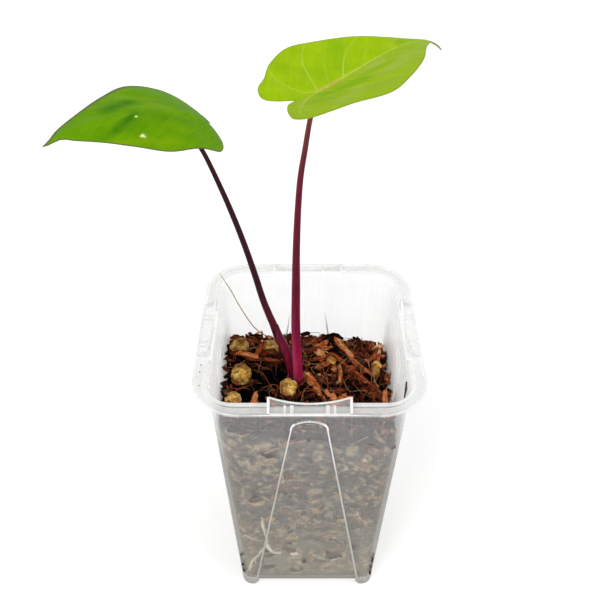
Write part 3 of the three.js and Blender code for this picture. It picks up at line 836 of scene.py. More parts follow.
# Puts a copy of a small mesh into the bmesh, with its own tone.
def addCopy(bm, template, matrix, tone):
    copy = template.copy()
    copy.transform(matrix)
    copy.attributes["tone"].data.foreach_set("value", [tone] * len(copy.vertices))
    bm.from_mesh(copy)
    bpy.data.meshes.remove(copy)


def turned(x=0.0, y=0.0, z=0.0):
    rx, ry, rz = (Matrix.Rotation(math.radians(a), 4, n) for a, n in ((x, "X"), (y, "Y"), (z, "Z")))
    return rz @ ry @ rx


def insidePot(x, y, margin):
    limit, rounding = wallHalf(mix["level"]) - pot["wallThick"] - margin, 8
    corner = limit - rounding
    if abs(x) > corner and abs(y) > corner:
        return math.hypot(abs(x) - corner, abs(y) - corner) < rounding
    return abs(x) < limit and abs(y) < limit


# Flakes that the photograph shows: x, y, lift, length, width, thickness, heading, lean, pitch, tone
shownFlakes = [
    (9.5, 25.5, 0.8, 8.0, 3.2, 2.0, 12, 8, 4, 0.12),
    (-16.6, 8.4, 2.1, 8.0, 2.8, 1.2, 15, 52, 0, 0.42),
    (-13.4, 8.8, 1.5, 6.5, 2.4, 1.1, -35, 46, 10, 0.32),
    (-18.8, 9.4, 2.5, 6.0, 2.0, 1.0, 58, 32, 18, 0.56),
    (-26.6, 7.4, 1.5, 7.0, 2.2, 1.1, 12, 46, 0, 0.46),
    (-4.8, -12.0, 1.5, 6.5, 1.5, 0.9, 38, 30, 0, 0.36),
    (-8.4, -13.2, 1.0, 8.0, 1.4, 0.9, -12, 30, 0, 0.3),
    (-11.8, -10.6, 1.2, 5.5, 1.3, 0.8, 74, 30, 0, 0.4),
    (4.5, 24.0, 0.6, 5.5, 2.4, 1.6, 22, 8, 10, 0.3),
    (21.5, -2.2, 0.9, 21.0, 3.4, 1.8, -45, 26, -4, 0.5),
    (23.6, -4.6, 0.6, 17.0, 1.6, 1.2, -47, 10, -4, 0.24),
    (19.0, -3.4, 0.3, 16.0, 1.2, 1.0, -43, 10, 2, 0.66),
    (14.0, 20.0, 1.4, 9.0, 2.6, 1.2, -60, 20, 8, 0.74),
    (15.6, 15.5, 1.1, 8.0, 2.2, 1.1, -52, -15, -6, 0.8),
    (17.8, 12.0, 1.0, 8.5, 2.0, 1.0, -66, 15, -4, 0.76),
    (20.5, 7.5, 0.7, 8.0, 2.2, 1.0, -55, 25, 0, 0.7),
    (24.5, 4.5, 0.7, 8.0, 1.8, 0.9, -50, 5, -5, 0.72),
    (0.2, -3.2, 1.0, 6.0, 3.8, 1.0, -48, 35, 5, 0.72),
    (3.4, -7.6, 0.5, 6.5, 2.6, 1.0, -72, -20, 0, 0.74),
    (-23.5, -7.8, 0.4, 8.5, 1.9, 0.9, 8, 20, -5, 0.72),
    (-20.5, -17.6, 0.6, 7.5, 2.6, 1.0, 68, 40, 14, 0.76),
    (-18.4, -20.0, 0.5, 7.5, 1.8, 1.0, 98, 30, 16, 0.68),
    (-13.2, -17.6, 0.7, 9.5, 2.4, 1.1, 122, 38, -8, 0.66),
    (-11.4, -19.6, 0.6, 7.5, 1.5, 0.9, 112, 10, -6, 0.48),
    (-24.5, 6.0, 1.1, 10.0, 2.2, 1.0, -20, 18, 3, 0.72),
    (-18.0, 4.2, 0.8, 12.0, 1.5, 0.9, -4, 12, 0, 0.55),
    (-12.0, 3.4, 0.7, 9.0, 1.3, 0.8, 8, 12, 0, 0.42),
    (-14.0, 0.8, 0.5, 8.0, 1.3, 0.8, 24, 12, 6, 0.38),
    (-22.0, 18.0, 1.4, 7.0, 2.8, 1.4, -24, 25, 10, 0.5),
    (-15.5, 20.5, 1.4, 5.0, 2.4, 1.4, 30, 30, 12, 0.34),
    (-17.0, 16.5, 1.2, 5.5, 1.8, 1.1, -62, 10, 20, 0.46),
    (-7.5, 22.0, 1.2, 6.5, 2.4, 1.3, 100, 20, 20, 0.28),
    (-1.0, 23.0, 0.6, 7.0, 2.2, 1.3, 8, 20, 0, 0.26),
    (1.5, 21.0, 1.2, 7.0, 2.6, 1.3, 25, 20, 4, 0.5),
    (4.5, 18.0, 1.2, 8.0, 2.8, 1.3, 35, 28, -6, 0.66),
    (8.6, 16.0, 1.1, 7.0, 2.6, 1.2, -18, 20, 6, 0.7),
    (1.0, 14.0, 0.9, 6.0, 2.4, 1.2, 12, 15, 6, 0.48),
    (11.5, 10.0, 0.7, 6.5, 2.4, 1.2, -30, 15, -6, 0.56),
    (21.0, 20.0, 2.6, 6.5, 2.0, 1.1, 98, 10, 62, 0.34),
    (24.0, 17.0, 2.2, 5.5, 1.7, 1.0, 70, 10, 50, 0.4),
    (27.0, 13.0, 1.8, 7.0, 1.7, 1.0, 64, 20, 42, 0.58),
    (28.0, 10.0, 1.6, 6.5, 1.6, 0.9, 78, 20, 46, 0.6),
    (28.6, 0.5, 1.0, 7.0, 2.0, 1.0, 80, 10, 30, 0.28),
    (28.8, -13.0, 1.2, 11.0, 2.2, 1.1, 88, 30, 10, 0.78),
    (26.0, -16.0, 0.4, 8.0, 2.2, 1.2, -50, 30, 6, 0.4),
    (22.0, -18.0, 0.4, 8.0, 2.2, 1.2, -40, 30, 6, 0.34),
    (13.0, -12.0, 0.8, 7.0, 2.8, 1.3, 20, 28, -8, 0.72),
    (10.5, -14.6, 0.6, 6.0, 2.2, 1.1, -8, 22, 5, 0.74),
    (7.0, -17.0, 0.5, 8.5, 2.4, 1.1, 8, 22, 5, 0.66),
    (-2.0, -18.5, 0.4, 12.0, 1.9, 1.0, -8, 20, 2, 0.58),
    (-5.0, -20.6, 0.4, 10.0, 1.6, 1.0, 4, 10, 2, 0.5),
    (12.4, 0.0, 0.9, 7.0, 1.9, 1.2, 84, 30, 22, 0.72),
    (9.4, -2.0, 0.6, 6.0, 1.6, 1.0, 60, 20, 10, 0.4),
    (5.5, 4.5, 0.7, 6.0, 2.2, 1.2, 34, 25, 5, 0.62),
    (3.0, 8.4, 0.8, 6.0, 2.0, 1.2, 12, 25, 5, 0.5),
    (14.6, 4.6, 0.5, 7.5, 1.8, 1.0, -34, 25, 5, 0.46),
]


# The dark place left of the stems, where the flakes lie deeper and darker
def inHollow(x, y):
    return -26 < x < -2 and -17 < y < 6


def sized(length, width, thick):
    return Matrix.Diagonal((length, width, thick, 1))


def addTopFlakes(bm, templates, splinters):
    for x, y, lift, length, width, thick, heading, lean, pitch, tone in shownFlakes:
        place = Matrix.Translation((x, y, mixHeight(x, y) + lift)) @ turned(lean, -pitch, heading)
        template = templates[int(abs(x) * 3) % len(templates)]
        addCopy(bm, template, place @ sized(length, width, thick), tone)
    rng = random.Random(5)
    placed = 0
    while placed < mix["flakes"] + mix["splinters"]:
        x, y = rng.uniform(-mix["reach"], mix["reach"]), rng.uniform(-mix["reach"], mix["reach"])
        if not insidePot(x, y, 1.6):
            continue
        placed += 1
        margin = wallHalf(mix["level"]) - pot["wallThick"] - gap - max(abs(x), abs(y))
        dark = 0.5 if inHollow(x, y) else 0
        if placed <= mix["flakes"]:
            length = min(rng.uniform(*mix["flakeLength"]), max(2.4, margin * 2))
            width, thick = length * rng.uniform(*mix["flakeWidth"]), rng.uniform(*mix["flakeThick"])
            template, deep = rng.choice(templates), rng.uniform(-3.6, 0.9) - dark * 4
        else:
            length = min(rng.uniform(*mix["splinterLength"]), max(2.6, margin * 2))
            width = thick = rng.uniform(*mix["splinterThick"])
            template, deep = rng.choice(splinters), rng.uniform(-2.4, 1.3) - dark * 4
        tilt = turned(rng.gauss(0, 28), rng.gauss(0, 20), rng.uniform(0, 180))
        tone = clamp(rng.gauss(0.47, 0.3) - dark, 0.02, 1.0)
        place = Matrix.Translation((x, y, mixHeight(x, y) + deep))
        addCopy(bm, template, place @ tilt @ sized(length, width, thick), tone)


# Chips round the edge of the mix, lying along the wall.
def addRimFlakes(bm, templates):
    rng = random.Random(14)
    for _ in range(mix["rimFlakes"]):
        side, along = rng.randrange(4), rng.uniform(-27, 27)
        length, width = rng.uniform(*mix["edgeFlakeLength"]), rng.uniform(*mix["rimFlakeWidth"])
        thick = rng.uniform(*mix["edgeFlakeThick"])
        here = againstWall(side, along, 104, rng.uniform(0.8, 2.4)).translation
        if not insidePot(here.x, here.y, 0.6):
            continue
        place = Matrix.Translation((here.x, here.y, mixHeight(here.x, here.y) - rng.uniform(0.2, 3.4)))
        tilt = turned(rng.gauss(0, 30), rng.gauss(0, 26), side * 90 + rng.gauss(0, 18))
        tone = clamp(rng.gauss(0.42, 0.24))
        addCopy(bm, rng.choice(templates), place @ tilt @ sized(length, width, thick), tone)


# Dark crumbs that fill the drain slots of the corners, and a few on the flange at the left.
def addSlotCrumbs(bm, templates):
    rng = random.Random(17)
    places = []
    for corner in range(4):
        for _ in range(mix["slotCrumbs"]):
            z = lerp(pot["slotFrom"] + 0.8, pot["slotTo"] - 0.5, rng.random() ** 1.3)
            reach = math.sqrt(2) * (wallHalf(z) - wallCorner(z)) + wallCorner(z) - rng.uniform(0.1, 1.3)
            turn = Matrix.Rotation(math.radians(45 + corner * 90), 4, "Z")
            spot = turn @ Vector((reach, rng.uniform(-0.6, 0.6), z))
            places.append((spot, rng.uniform(*mix["slotCrumbSize"]), rng.uniform(1.0, 2.4)))
    places += [(Vector(spot), 0.55, 0.7) for spot in mix["flangeCrumbs"]]
    for spot, size, tall in places:
        shape = Matrix.Translation(spot) @ turned(rng.gauss(0, 18), rng.gauss(0, 18), rng.uniform(0, 180))
        shape = shape @ sized(size, size * 0.8, size * tall)
        addCopy(bm, rng.choice(templates), shape, rng.uniform(0.1, 0.4))


def addCrumbs(bm, templates):
    rng = random.Random(9)
    placed = 0
    while placed < mix["crumbs"]:
        x, y = rng.uniform(-mix["reach"], mix["reach"]), rng.uniform(-mix["reach"], mix["reach"])
        if not insidePot(x, y, 1.2):
            continue
        placed += 1
        size = rng.uniform(*mix["crumbSize"])
        squash = sized(size * rng.uniform(0.8, 1.8), size, size * rng.uniform(0.5, 0.9))
        place = Matrix.Translation((x, y, mixHeight(x, y) + rng.uniform(-2.2, 0.2)))
        tone = clamp(rng.gauss(0.3, 0.2), 0.0, 0.8)
        template = rng.choice(templates)
        tilt = turned(rng.uniform(0, 90), 0, rng.uniform(0, 180))
        addCopy(bm, template, place @ tilt @ squash, tone)


# Turns local X along a wall, local Y up and local Z towards the wall. Side 0 is the front.
def againstWall(side, along, z, depth):
    distance = wallInside(along, z) - gap - depth
    front = Matrix.Translation((along, -distance, z)) @ Matrix.Rotation(math.pi / 2, 4, "X")
    return Matrix.Rotation(side * math.pi / 2, 4, "Z") @ front


def underMix(side, along, z):
    here = againstWall(side, along, z, 1).translation
    return mix["floor"] + 1 < z < mixHeight(here.x, here.y) - 2


def addWallFlakes(bm, templates):
    rng = random.Random(21)
    for side in range(4):
        for _ in range(mix["wallFlakes"]):
            z = rng.uniform(mix["floor"] + 2, 108)
            along = rng.uniform(-1, 1) * (wallHalf(z) - wallCorner(z) - 1)
            if not underMix(side, along, z):
                continue
            length = rng.uniform(*mix["edgeFlakeLength"])
            width, thick = length * rng.uniform(*mix["wallFlakeWidth"]), rng.uniform(*mix["edgeFlakeThick"])
            place = againstWall(side, along, z, thick * 0.45 - rng.uniform(-0.15, 0.2))
            lie = turned(rng.gauss(0, 10), rng.gauss(0, 8), rng.uniform(0, 180))
            tone = clamp(rng.gauss(0.36, 0.2), 0.03, 1.0)
            addCopy(bm, rng.choice(templates), place @ lie @ sized(length, width, thick), tone)


# Darkens what lies deep between the flakes on top, where no light comes but through the walls,
# and makes what the walls press on dusty.
def markDepth(bm):
    litLayer, dustLayer = bm.verts.layers.float.new("lit"), bm.verts.layers.float.new("dusty")
    for vert in bm.verts:
        x, y, z = vert.co
        above = z - mixHeight(x, y)
        atFront, atWall = smoothStep(-20, -26, y), smoothStep(28.6, 31.2, max(abs(x), abs(y)))
        # The dark place left of the stems gets more of this painted shade.
        hollow = smoothStep(-27, -23, x) * smoothStep(-1, -5, x)
        hollow *= smoothStep(-18, -14, y) * smoothStep(8, 4, y)
        vert[litLayer] = max(smoothStep(-2.1, 1.4, above - hollow / 2), 0.8 * atFront, 0.62 * atWall)
        vert[dustLayer] = 0 if z < 40 else max(atFront, atWall * smoothStep(0.5, -2.5, above))


def huskMaterial(name, tones, behindWall=False):
    material, tree, skin = newMaterial(name, {"Roughness": 0.75, "Specular IOR Level": 0.04})
    grain = addNode(tree, "ShaderNodeMapping", {
        "Vector": attributeOf(tree, "grain", "Vector"), "Scale": (1.4, 12, 12),
    }).outputs["Vector"]
    threads = cloud(tree, grain, 1.0, 5, 0.65)
    patches = cloud(tree, objectSpace(tree), 0.0016, 4)
    tone = calculate(tree, "ADD", attributeOf(tree, "tone"), spread(tree, threads, 0.3, 0.7, -0.34, 0.34))
    tone = calculate(tree, "ADD", tone, spread(tree, patches, 0.3, 0.7, -0.12, 0.12))
    colour = paintRamp(tree, tone, tones)
    if not behindWall:
        dusty = calculate(tree, "MULTIPLY", attributeOf(tree, "dusty"), 0.9)
        colour = blendColours(tree, dusty, colour, paintRamp(tree, tone, wallTones))
        lit = calculate(tree, "POWER", attributeOf(tree, "lit"), 2.6)
        colour = blendColours(tree, lit, (0.002, 0.001, 0.001, 1), colour)
    tree.links.new(colour, skin.inputs["Base Color"])
    addBump(tree, skin, threads, 0.6, 0.0004)
    return material


# The top of the core, seen in the gaps between the chips: dark soil, painted near black as the shade in
# those gaps.
def coreTopMaterial():
    material, tree, skin = newMaterial("shadedGapSoil", {"Roughness": 0.8, "Specular IOR Level": 0.03})
    shade = cloud(tree, objectSpace(tree), 0.0015, 5)
    colour = paintRamp(tree, shade, [(0.35, (4, 2, 2)), (0.6, (16, 7, 4)), (0.8, (44, 20, 12))])
    tree.links.new(colour, skin.inputs["Base Color"])
    addBump(tree, skin, shade, 0.8, 0.0008)
    return material


# Wiggly thin lines, where a cloudy noise passes its middle value.
def wiggles(tree, where, size, thin):
    off = calculate(tree, "SUBTRACT", cloud(tree, where, size, 3, 0.6), 0.5)
    return spread(tree, calculate(tree, "ABSOLUTE", off), 0.0, thin, 1.0, 0.0)


# The pressed side of the mix: soil and husk dust, with blurred stones and husk in it
pressedSoil = {
    "tones": [(0.38, (4, 4, 4)), (0.46, (38, 34, 30)), (0.53, (92, 82, 68)), (0.64, (206, 190, 158))],
    # Tinted patches: stretch, size, noise from and to, strength, colour
    "patches": [
        ((1, 1, 1.4), 0.008, 0.52, 0.62, 0.45, (142, 90, 82)),
        ((1.2, 1.2, 1), 0.016, 0.5, 0.6, 0.6, (54, 68, 74)),
    ],
    # Round lumps: size, share of the cells that have none, colour
    "lumps": [
        (0.0068, 0.6, (190, 176, 136)), (0.0042, 0.58, (176, 158, 120)), (0.0026, 0.6, (150, 132, 100)),
    ],
    # Wiggly threads: stretch, size, how thin, strength, colour
    "threads": [
        ((1, 1, 1), 0.006, 0.016, 0.85, (8, 7, 7)), ((1, 1, 1.5), 0.01, 0.007, 0.5, (204, 188, 160)),
        ((1.6, 1.6, 1), 0.0038, 0.016, 0.8, (8, 7, 7)), ((2, 2, 1), 0.008, 0.007, 0.6, (204, 184, 160)),
        ((1, 1, 1.3), 0.0032, 0.007, 0.45, (214, 200, 172)),
    ],
}


def coreSideMaterial():
    material, tree, skin = newMaterial("pressedSoil", {"Roughness": 0.95, "Specular IOR Level": 0.05})
    where = objectSpace(tree)
    colour = paintRamp(tree, cloud(tree, where, 0.0042, 9, 0.76), pressedSoil["tones"])
    for stretch, size, low, high, strength, shade in pressedSoil["patches"]:
        patch = spread(tree, cloud(tree, objectSpace(tree, stretch), size, 5), low, high)
        colour = lay(tree, patch, strength, colour, shade)
    for size, low, shade in pressedSoil["lumps"]:
        lumps = cells(tree, where, size, "SMOOTH_F1")
        grey = addNode(tree, "ShaderNodeRGBToBW", {"Color": lumps.outputs["Color"]}).outputs["Val"]
        disc = spread(tree, lumps.outputs["Distance"], 0.4, 0.2)
        lump = calculate(tree, "MULTIPLY", disc, spread(tree, grey, low, low + 0.05))
        colour = lay(tree, lump, 0.65, colour, shade)
    for stretch, size, thin, strength, shade in pressedSoil["threads"]:
        thread = wiggles(tree, objectSpace(tree, stretch), size, thin)
        colour = lay(tree, thread, strength, colour, shade)
    colour = lay(tree, spread(tree, heightOf(tree), 0.055, 0.02), 0.22, colour, (200, 190, 160))
    tree.links.new(colour, skin.inputs["Base Color"])
    addBump(tree, skin, cloud(tree, where, 0.002, 5), 0.5, 0.0006)
    return material


huskTones = [
    (0.0, (6, 2, 2)), (0.2, (24, 9, 6)), (0.38, (62, 24, 15)), (0.55, (118, 50, 27)), (0.72, (178, 88, 42)),
    (0.88, (224, 146, 88)), (1.0, (240, 204, 156)),
]
wallTones = [
    (0.0, (26, 22, 20)), (0.35, (62, 50, 44)), (0.6, (108, 82, 70)), (0.85, (146, 120, 96)),
    (1.0, (172, 154, 126)),
]


def makeMix():
    makePiece("mixCore", mixCore(), [coreSideMaterial(), coreTopMaterial()], ["potting_mix"])
    flakes = [flakeMesh(seed, bend) for seed, bend in enumerate(mix["flakeBends"])]
    splinters = [splinterMesh(seed) for seed in range(6)]
    crumbs = [crumbMesh(seed) for seed in range(5)]
    husk = huskMaterial("huskAndBark", huskTones)
    bm = bmesh.new()
    addTopFlakes(bm, flakes, splinters)
    addRimFlakes(bm, flakes)
    addCrumbs(bm, crumbs)
    addSlotCrumbs(bm, crumbs)
    markDepth(bm)
    makePiece("huskFlakes", bm, [husk], ["potting_mix"])
    bm = bmesh.new()
    addWallFlakes(bm, flakes)
    dusty = huskMaterial("dustyHusk", wallTones, behindWall=True)
    makePiece("huskAgainstWall", bm, [dusty], ["potting_mix"])
    for template in flakes + splinters + crumbs:
        bpy.data.meshes.remove(template)


makeMix()


# Coir fibres, on top of the mix and against the walls

fibres = {
    "rust": {"count": 150, "radius": (0.1, 0.2), "colour": (150, 74, 34)},
    "dark": {"count": 110, "radius": (0.09, 0.18), "colour": (52, 24, 14)},
    "pale": {"count": 60, "radius": (0.07, 0.14), "colour": (196, 150, 100)},
    "onEachWall": 8,            # of each kind
    # Strands that the photograph shows against the front wall: kind, radius, places along it and heights
    "shownOnWall": [
        ("pale", 0.2, [(-24.9, 109.1), (-22.8, 111.4), (-20.6, 112.4)]),
        ("pale", 0.3, [(-16.9, 100), (-12.1, 103.1), (-8, 105.4), (-3.2, 107.3), (2, 107.8)]),
        ("pale", 0.2, [(14.5, 104.9), (17.6, 108.2), (20.4, 110.6)]),
        ("dark", 0.3, [(-1.5, 36.8), (1.9, 37.7), (4.8, 35.9)]),
        ("dark", 0.35, [(9, 36.8), (10.6, 36.4), (12.1, 35.1)]),
    ],
    "wallStick": [(33.4, -22.8, 128.1), (33.5, -23.3, 124.5), (33.2, -24.1, 120.8)],
}


def topFibre(rng, radius):
    while True:
        x, y = rng.uniform(-29, 29), rng.uniform(-29, 29)
        if insidePot(x, y, 3) and not (inHollow(x, y) and rng.random() < 0.6):
            break
    heading, bend = rng.uniform(0, 360), rng.gauss(0, 9)
    length, lift = rng.uniform(6, 22), abs(rng.gauss(0, 1.1))
    count = 12
    line = []
    for k in range(count):
        share = k / (count - 1)
        if insidePot(x, y, 1.2):
            z = mixHeight(x, y) + 0.4 + lift * math.sin(share * math.pi) + 0.3 * ripple(x * 0.8, y * 0.8)
            line.append(Vector((x, y, z)))
        heading += bend
        x += length / count * math.cos(math.radians(heading))
        y += length / count * math.sin(math.radians(heading))
    size = rng.uniform(*radius)
    return line, [size * (1 - 0.6 * abs(2 * k / max(1, len(line) - 1) - 1) ** 3) for k in range(len(line))]


def wallFibre(rng, side, radius):
    z = rng.uniform(10, 108)
    along = rng.uniform(-20, 20)
    heading, bend = rng.gauss(0, 35) + rng.choice((0, 180)), rng.gauss(0, 5)
    length = rng.uniform(6, 20)
    count = 10
    line = []
    for _ in range(count):
        if abs(along) < wallHalf(z) - wallCorner(z) and underMix(side, along, z):
            line.append(againstWall(side, along, z, -0.05).translation)
        heading += bend
        along += length / count * math.cos(math.radians(heading))
        z += length / count * math.sin(math.radians(heading))
    size = rng.uniform(*radius)
    return line, [size] * len(line)


def fibreMaterial(name, colour):
    material, tree, skin = newMaterial(name, {"Roughness": 0.7, "Specular IOR Level": 0.3})
    shade = cloud(tree, objectSpace(tree), 0.003, 3)
    tone = srgb(*colour)
    darker = tuple(0.45 * v for v in tone[:3]) + (1,)
    tree.links.new(colourRamp(tree, shade, [(0.3, darker), (0.65, tone)]), skin.inputs["Base Color"])
    return material


def makeFibres():
    rng = random.Random(33)
    for kind in ("rust", "dark", "pale"):
        look = fibres[kind]
        tubes = [topFibre(rng, look["radius"]) for _ in range(look["count"])]
        for side in range(4):
            tubes += [wallFibre(rng, side, look["radius"]) for _ in range(fibres["onEachWall"])]
        for shownKind, radius, places in fibres["shownOnWall"]:
            if shownKind == kind:
                spots = [againstWall(0, along, z, radius - gap).translation for along, z in places]
                line = smoothLine(spots, 6)
                tubes.append((line, [radius] * len(line)))
        if kind == "dark":
            tubes.append((smoothLine(fibres["wallStick"], 4), stepsBetween([0.3, 0.5, 0.25], 4)))
        bm = tubesShape([tube for tube in tubes if len(tube[0]) > 3], 0)
        name = kind + "Fibres"
        makePiece(name, bm, [fibreMaterial(name, look["colour"])])


makeFibres()


# Pumice stones

# Node, place, radius, stretch, seed, look
stones = [
    ("pumice_left", (-25.5, -4.7, 112.8), 4.1, (1, 0.95, 0.92), 3, "pumiceStone"),
    ("pumice_front", (-7.6, -9.2, 109.8), 3.45, (0.95, 1, 0.9), 8, "pumiceStone"),
    ("pumice_front_left", (-27.6, -16.1, 111.9), 2.7, (1.1, 0.95, 0.8), 14, "pumiceStone"),
    ("pumice_back_left", (-27.2, 11.2, 111.4), 3.3, (1.05, 1, 0.85), 21, "shadedPumice"),
    ("pumice_middle", (-15.6, 12.2, 109.6), 3.6, (1.1, 0.9, 0.85), 27, "shadedPumice"),
    ("pumice_small", (9.1, 7.7, 107.3), 1.7, (1.1, 1, 0.9), 33, "pumiceStone"),
    ("pumice_right", (27.2, 5.7, 104.3), 2.6, (0.8, 1.3, 0.9), 40, "pumiceStone"),
]

# How much of a colour is laid over the stones, and the colour: soil dust on the stones against the wall, and
# painted shade on the middle and back left stones.
pumiceLooks = {
    "pumiceStone": (0.0, (0, 0, 0)),
    "shadedPumice": (0.42, (74, 56, 18)),
    "dustyPumice": (0.55, (122, 114, 98)),
}

# Stones buried in the mix that show through the walls: side, place along it, height, radius
buriedStones = [
    (0, -15.5, 96, 4.2), (0, -5.0, 84, 3.6), (0, 19.5, 91, 4.4), (0, -20.5, 67, 4.0), (0, -15.0, 70, 3.0),
    (0, 2.5, 67, 3.2), (0, 4.0, 60, 3.0), (0, 12.0, 72, 3.0), (0, -16.0, 54, 2.6), (0, 14.0, 52, 2.8),
    (0, 0.0, 20, 2.6), (0, 19.0, 30, 3.0), (0, -6.0, 38, 2.4),
    (1, -14.0, 88, 3.8), (1, 6.0, 78, 4.0), (1, 16.0, 55, 3.2), (1, -8.0, 44, 3.4), (1, 3.0, 22, 3.0),
    (1, -20.0, 65, 3.0), (2, 10.0, 85, 4.0), (2, -12.0, 70, 3.6), (2, 4.0, 50, 3.8), (2, -17.0, 32, 3.0),
    (2, 15.0, 24, 3.2), (2, -4.0, 92, 2.8), (3, -6.0, 90, 3.8), (3, 14.0, 74, 3.6), (3, -16.0, 58, 3.4),
    (3, 5.0, 40, 3.6), (3, -9.0, 20, 3.0), (3, 18.0, 94, 3.0),
]


# The same lumps as the stone's solid, from the same draws.
def stoneLean(seed):
    draws = []
    state = seed
    for _ in range(3):
        state = (state * 1664525 + 1013904223) % 4294967296
        draws.append(state / 4294967296 * 6)
    return draws


def stoneShape(radius, stretch, seed, detail=5):
    lean = stoneLean(seed)
    bm = bmesh.new()
    bmesh.ops.create_icosphere(bm, subdivisions=detail, radius=1)
    for vert in bm.verts:
        p = vert.co.copy()
        lump = math.sin(2.3 * p.x + lean[0]) + math.sin(2.9 * p.y + lean[1]) + math.sin(2.6 * p.z + lean[2])
        facets = 0.2 * ripple(p.x * 1.9, p.y * 1.9, p.z * 1.9 + seed)
        facets += 0.05 * ripple(p.x * 4.2, p.y * 4.2, p.z * 4.2 - seed)
        rough = 0.024 * ripple(p.x * 9, p.y * 9, p.z * 9 + seed)
        nearest = noise.voronoi(p * 4.5 + Vector((seed, 0, 0)))[0][0]
        pit = -0.05 * (1 - smoothStep(0.12, 0.3, nearest))
        size = radius * (1 + 0.07 * lump + facets + rough + pit)
        vert.co = Vector((p.x * stretch[0], p.y * stretch[1], p.z * stretch[2])) * size
    return bm


def pumiceMaterial(name):
    dustAndShade, dustAndShadeColour = pumiceLooks[name]
    material, tree, skin = newMaterial(name, {"Roughness": 0.9, "Specular IOR Level": 0.15})
    where = objectSpace(tree)
    patches = cloud(tree, where, 0.0036, 5, 0.62)
    colour = paintRamp(tree, patches, [
        (0.33, (70, 40, 16)), (0.43, (160, 106, 40)), (0.53, (218, 172, 80)), (0.66, (248, 226, 162)),
    ])
    pink = spread(tree, cloud(tree, where, 0.005, 2), 0.52, 0.64)
    colour = lay(tree, pink, 0.35, colour, (214, 158, 110))
    dirt = spread(tree, cloud(tree, objectSpace(tree, (1, 1.3, 0.8)), 0.0028, 6, 0.7), 0.51, 0.61)
    colour = lay(tree, dirt, 0.8, colour, (84, 50, 24))
    # The pores are painted a darker brown, as shade in the holes, over a bump.
    pores = cells(tree, where, 0.0008).outputs["Distance"]
    hole = spread(tree, pores, 0.1, 0.34, 0.0, 1.0)
    colour = blendColours(tree, hole, srgb(104, 66, 30), colour)
    # Dust on the stones against the wall, painted shade on the shaded ones.
    dusty = blendColours(tree, dustAndShade, colour, srgb(*dustAndShadeColour))
    tree.links.new(dusty, skin.inputs["Base Color"])
    grit = calculate(tree, "ADD", cloud(tree, where, 0.0005, 5), calculate(tree, "MULTIPLY", hole, 0.8))
    addBump(tree, skin, grit, 0.5, 0.0003)
    return material


def makeStones():
    skins = {name: pumiceMaterial(name) for name in pumiceLooks}
    for node, place, radius, stretch, seed, look in stones:
        bm = stoneShape(radius, stretch, seed)
        bmesh.ops.translate(bm, vec=place, verts=bm.verts)
        side = node.split("_", 1)[1].title().replace("_", "")
        makePiece("pumice" + side, bm, [skins[look]], [node])
    buried, flat = bmesh.new(), 0.36        # flat against the wall, so that a broad face shows
    for index, (side, along, z, radius) in enumerate(buriedStones):
        stone = stoneShape(radius, (1.1, 0.95, flat), 50 + index, 3)
        matrix = againstWall(side, along, z, radius * flat - 0.05)
        bmesh.ops.transform(stone, matrix=matrix, verts=stone.verts)
        pour(buried, stone)
    makePiece("pumiceAgainstWall", buried, [skins["dustyPumice"]], ["potting_mix"])


makeStones()


# Corm and roots

roots = {
    "cormCentre": (-5.2, -1.2, 90), "cormHalfWidth": 6, "cormHalfHeight": 7,
    "thick": 0.95, "thin": 0.6, "rootletRadii": [0.32, 0.24, 0.12],
    "tuftAt": (-5.8, -28.0, 24.4), "tuftRadius": 2.2,       # a clump of fine white root against the wall
    "lines": [
        [(-6, -4, 86), (-13, -15, 74), (-18, -27, 62), (-18.5, -29.75, 52), (-17.6, -28.95, 42),
         (-17.6, -28.4, 33), (-20.4, -28.6, 26), (-24.2, -28.5, 18.6), (-25.6, -28.3, 11)],
        [(-17.6, -28.4, 33), (-16.2, -28.3, 28.5), (-14.2, -28.1, 25.4), (-12.6, -28.0, 25.0),
         (-11.4, -28.0, 24.6)],
        [(-5, -1, 86), (-1, 4, 70), (4, 10, 50), (2, 14, 26), (6, 12, 12)],
        [(-5, -1, 86), (6, -6, 74), (15, -12, 56), (18, -16, 34)],
        [(-5, -1, 86), (-14, 6, 72), (-20, 14, 50), (-19, 19, 24)],
    ],
    "rootlets": [
        [(-26.4, -29.9, 42.5), (-22.6, -29.7, 38.6), (-17.8, -29.2, 35.4)],
        [(-20.2, -28.9, 25.6), (-22.8, -28.8, 21.6), (-22.6, -28.7, 16.4)],
        [(-15.4, -28.3, 27), (-13.2, -28.4, 28.6), (-11.0, -28.4, 29.4)],
    ],
}


def rootMaterial():
    material, tree, skin = newMaterial("whiteRoot", {"Roughness": 0.5, "Specular IOR Level": 0.4})
    shade = cloud(tree, objectSpace(tree, (1, 1, 0.4)), 0.004, 4)
    colour = paintRamp(tree, shade, [
        (0.3, (178, 166, 138)), (0.55, (216, 209, 190)), (0.8, (240, 236, 224)),
    ])
    tree.links.new(colour, skin.inputs["Base Color"])
    addBump(tree, skin, shade, 0.3, 0.0003)
    return material


def cormMaterial():
    material, tree, skin = newMaterial("brownCorm", {"Roughness": 0.8})
    rings = cloud(tree, objectSpace(tree, (1, 1, 5)), 0.006, 4)
    colour = paintRamp(tree, rings, [(0.35, (48, 28, 18)), (0.65, (112, 74, 46))])
    tree.links.new(colour, skin.inputs["Base Color"])
    addBump(tree, skin, rings, 0.6, 0.0006)
    return material


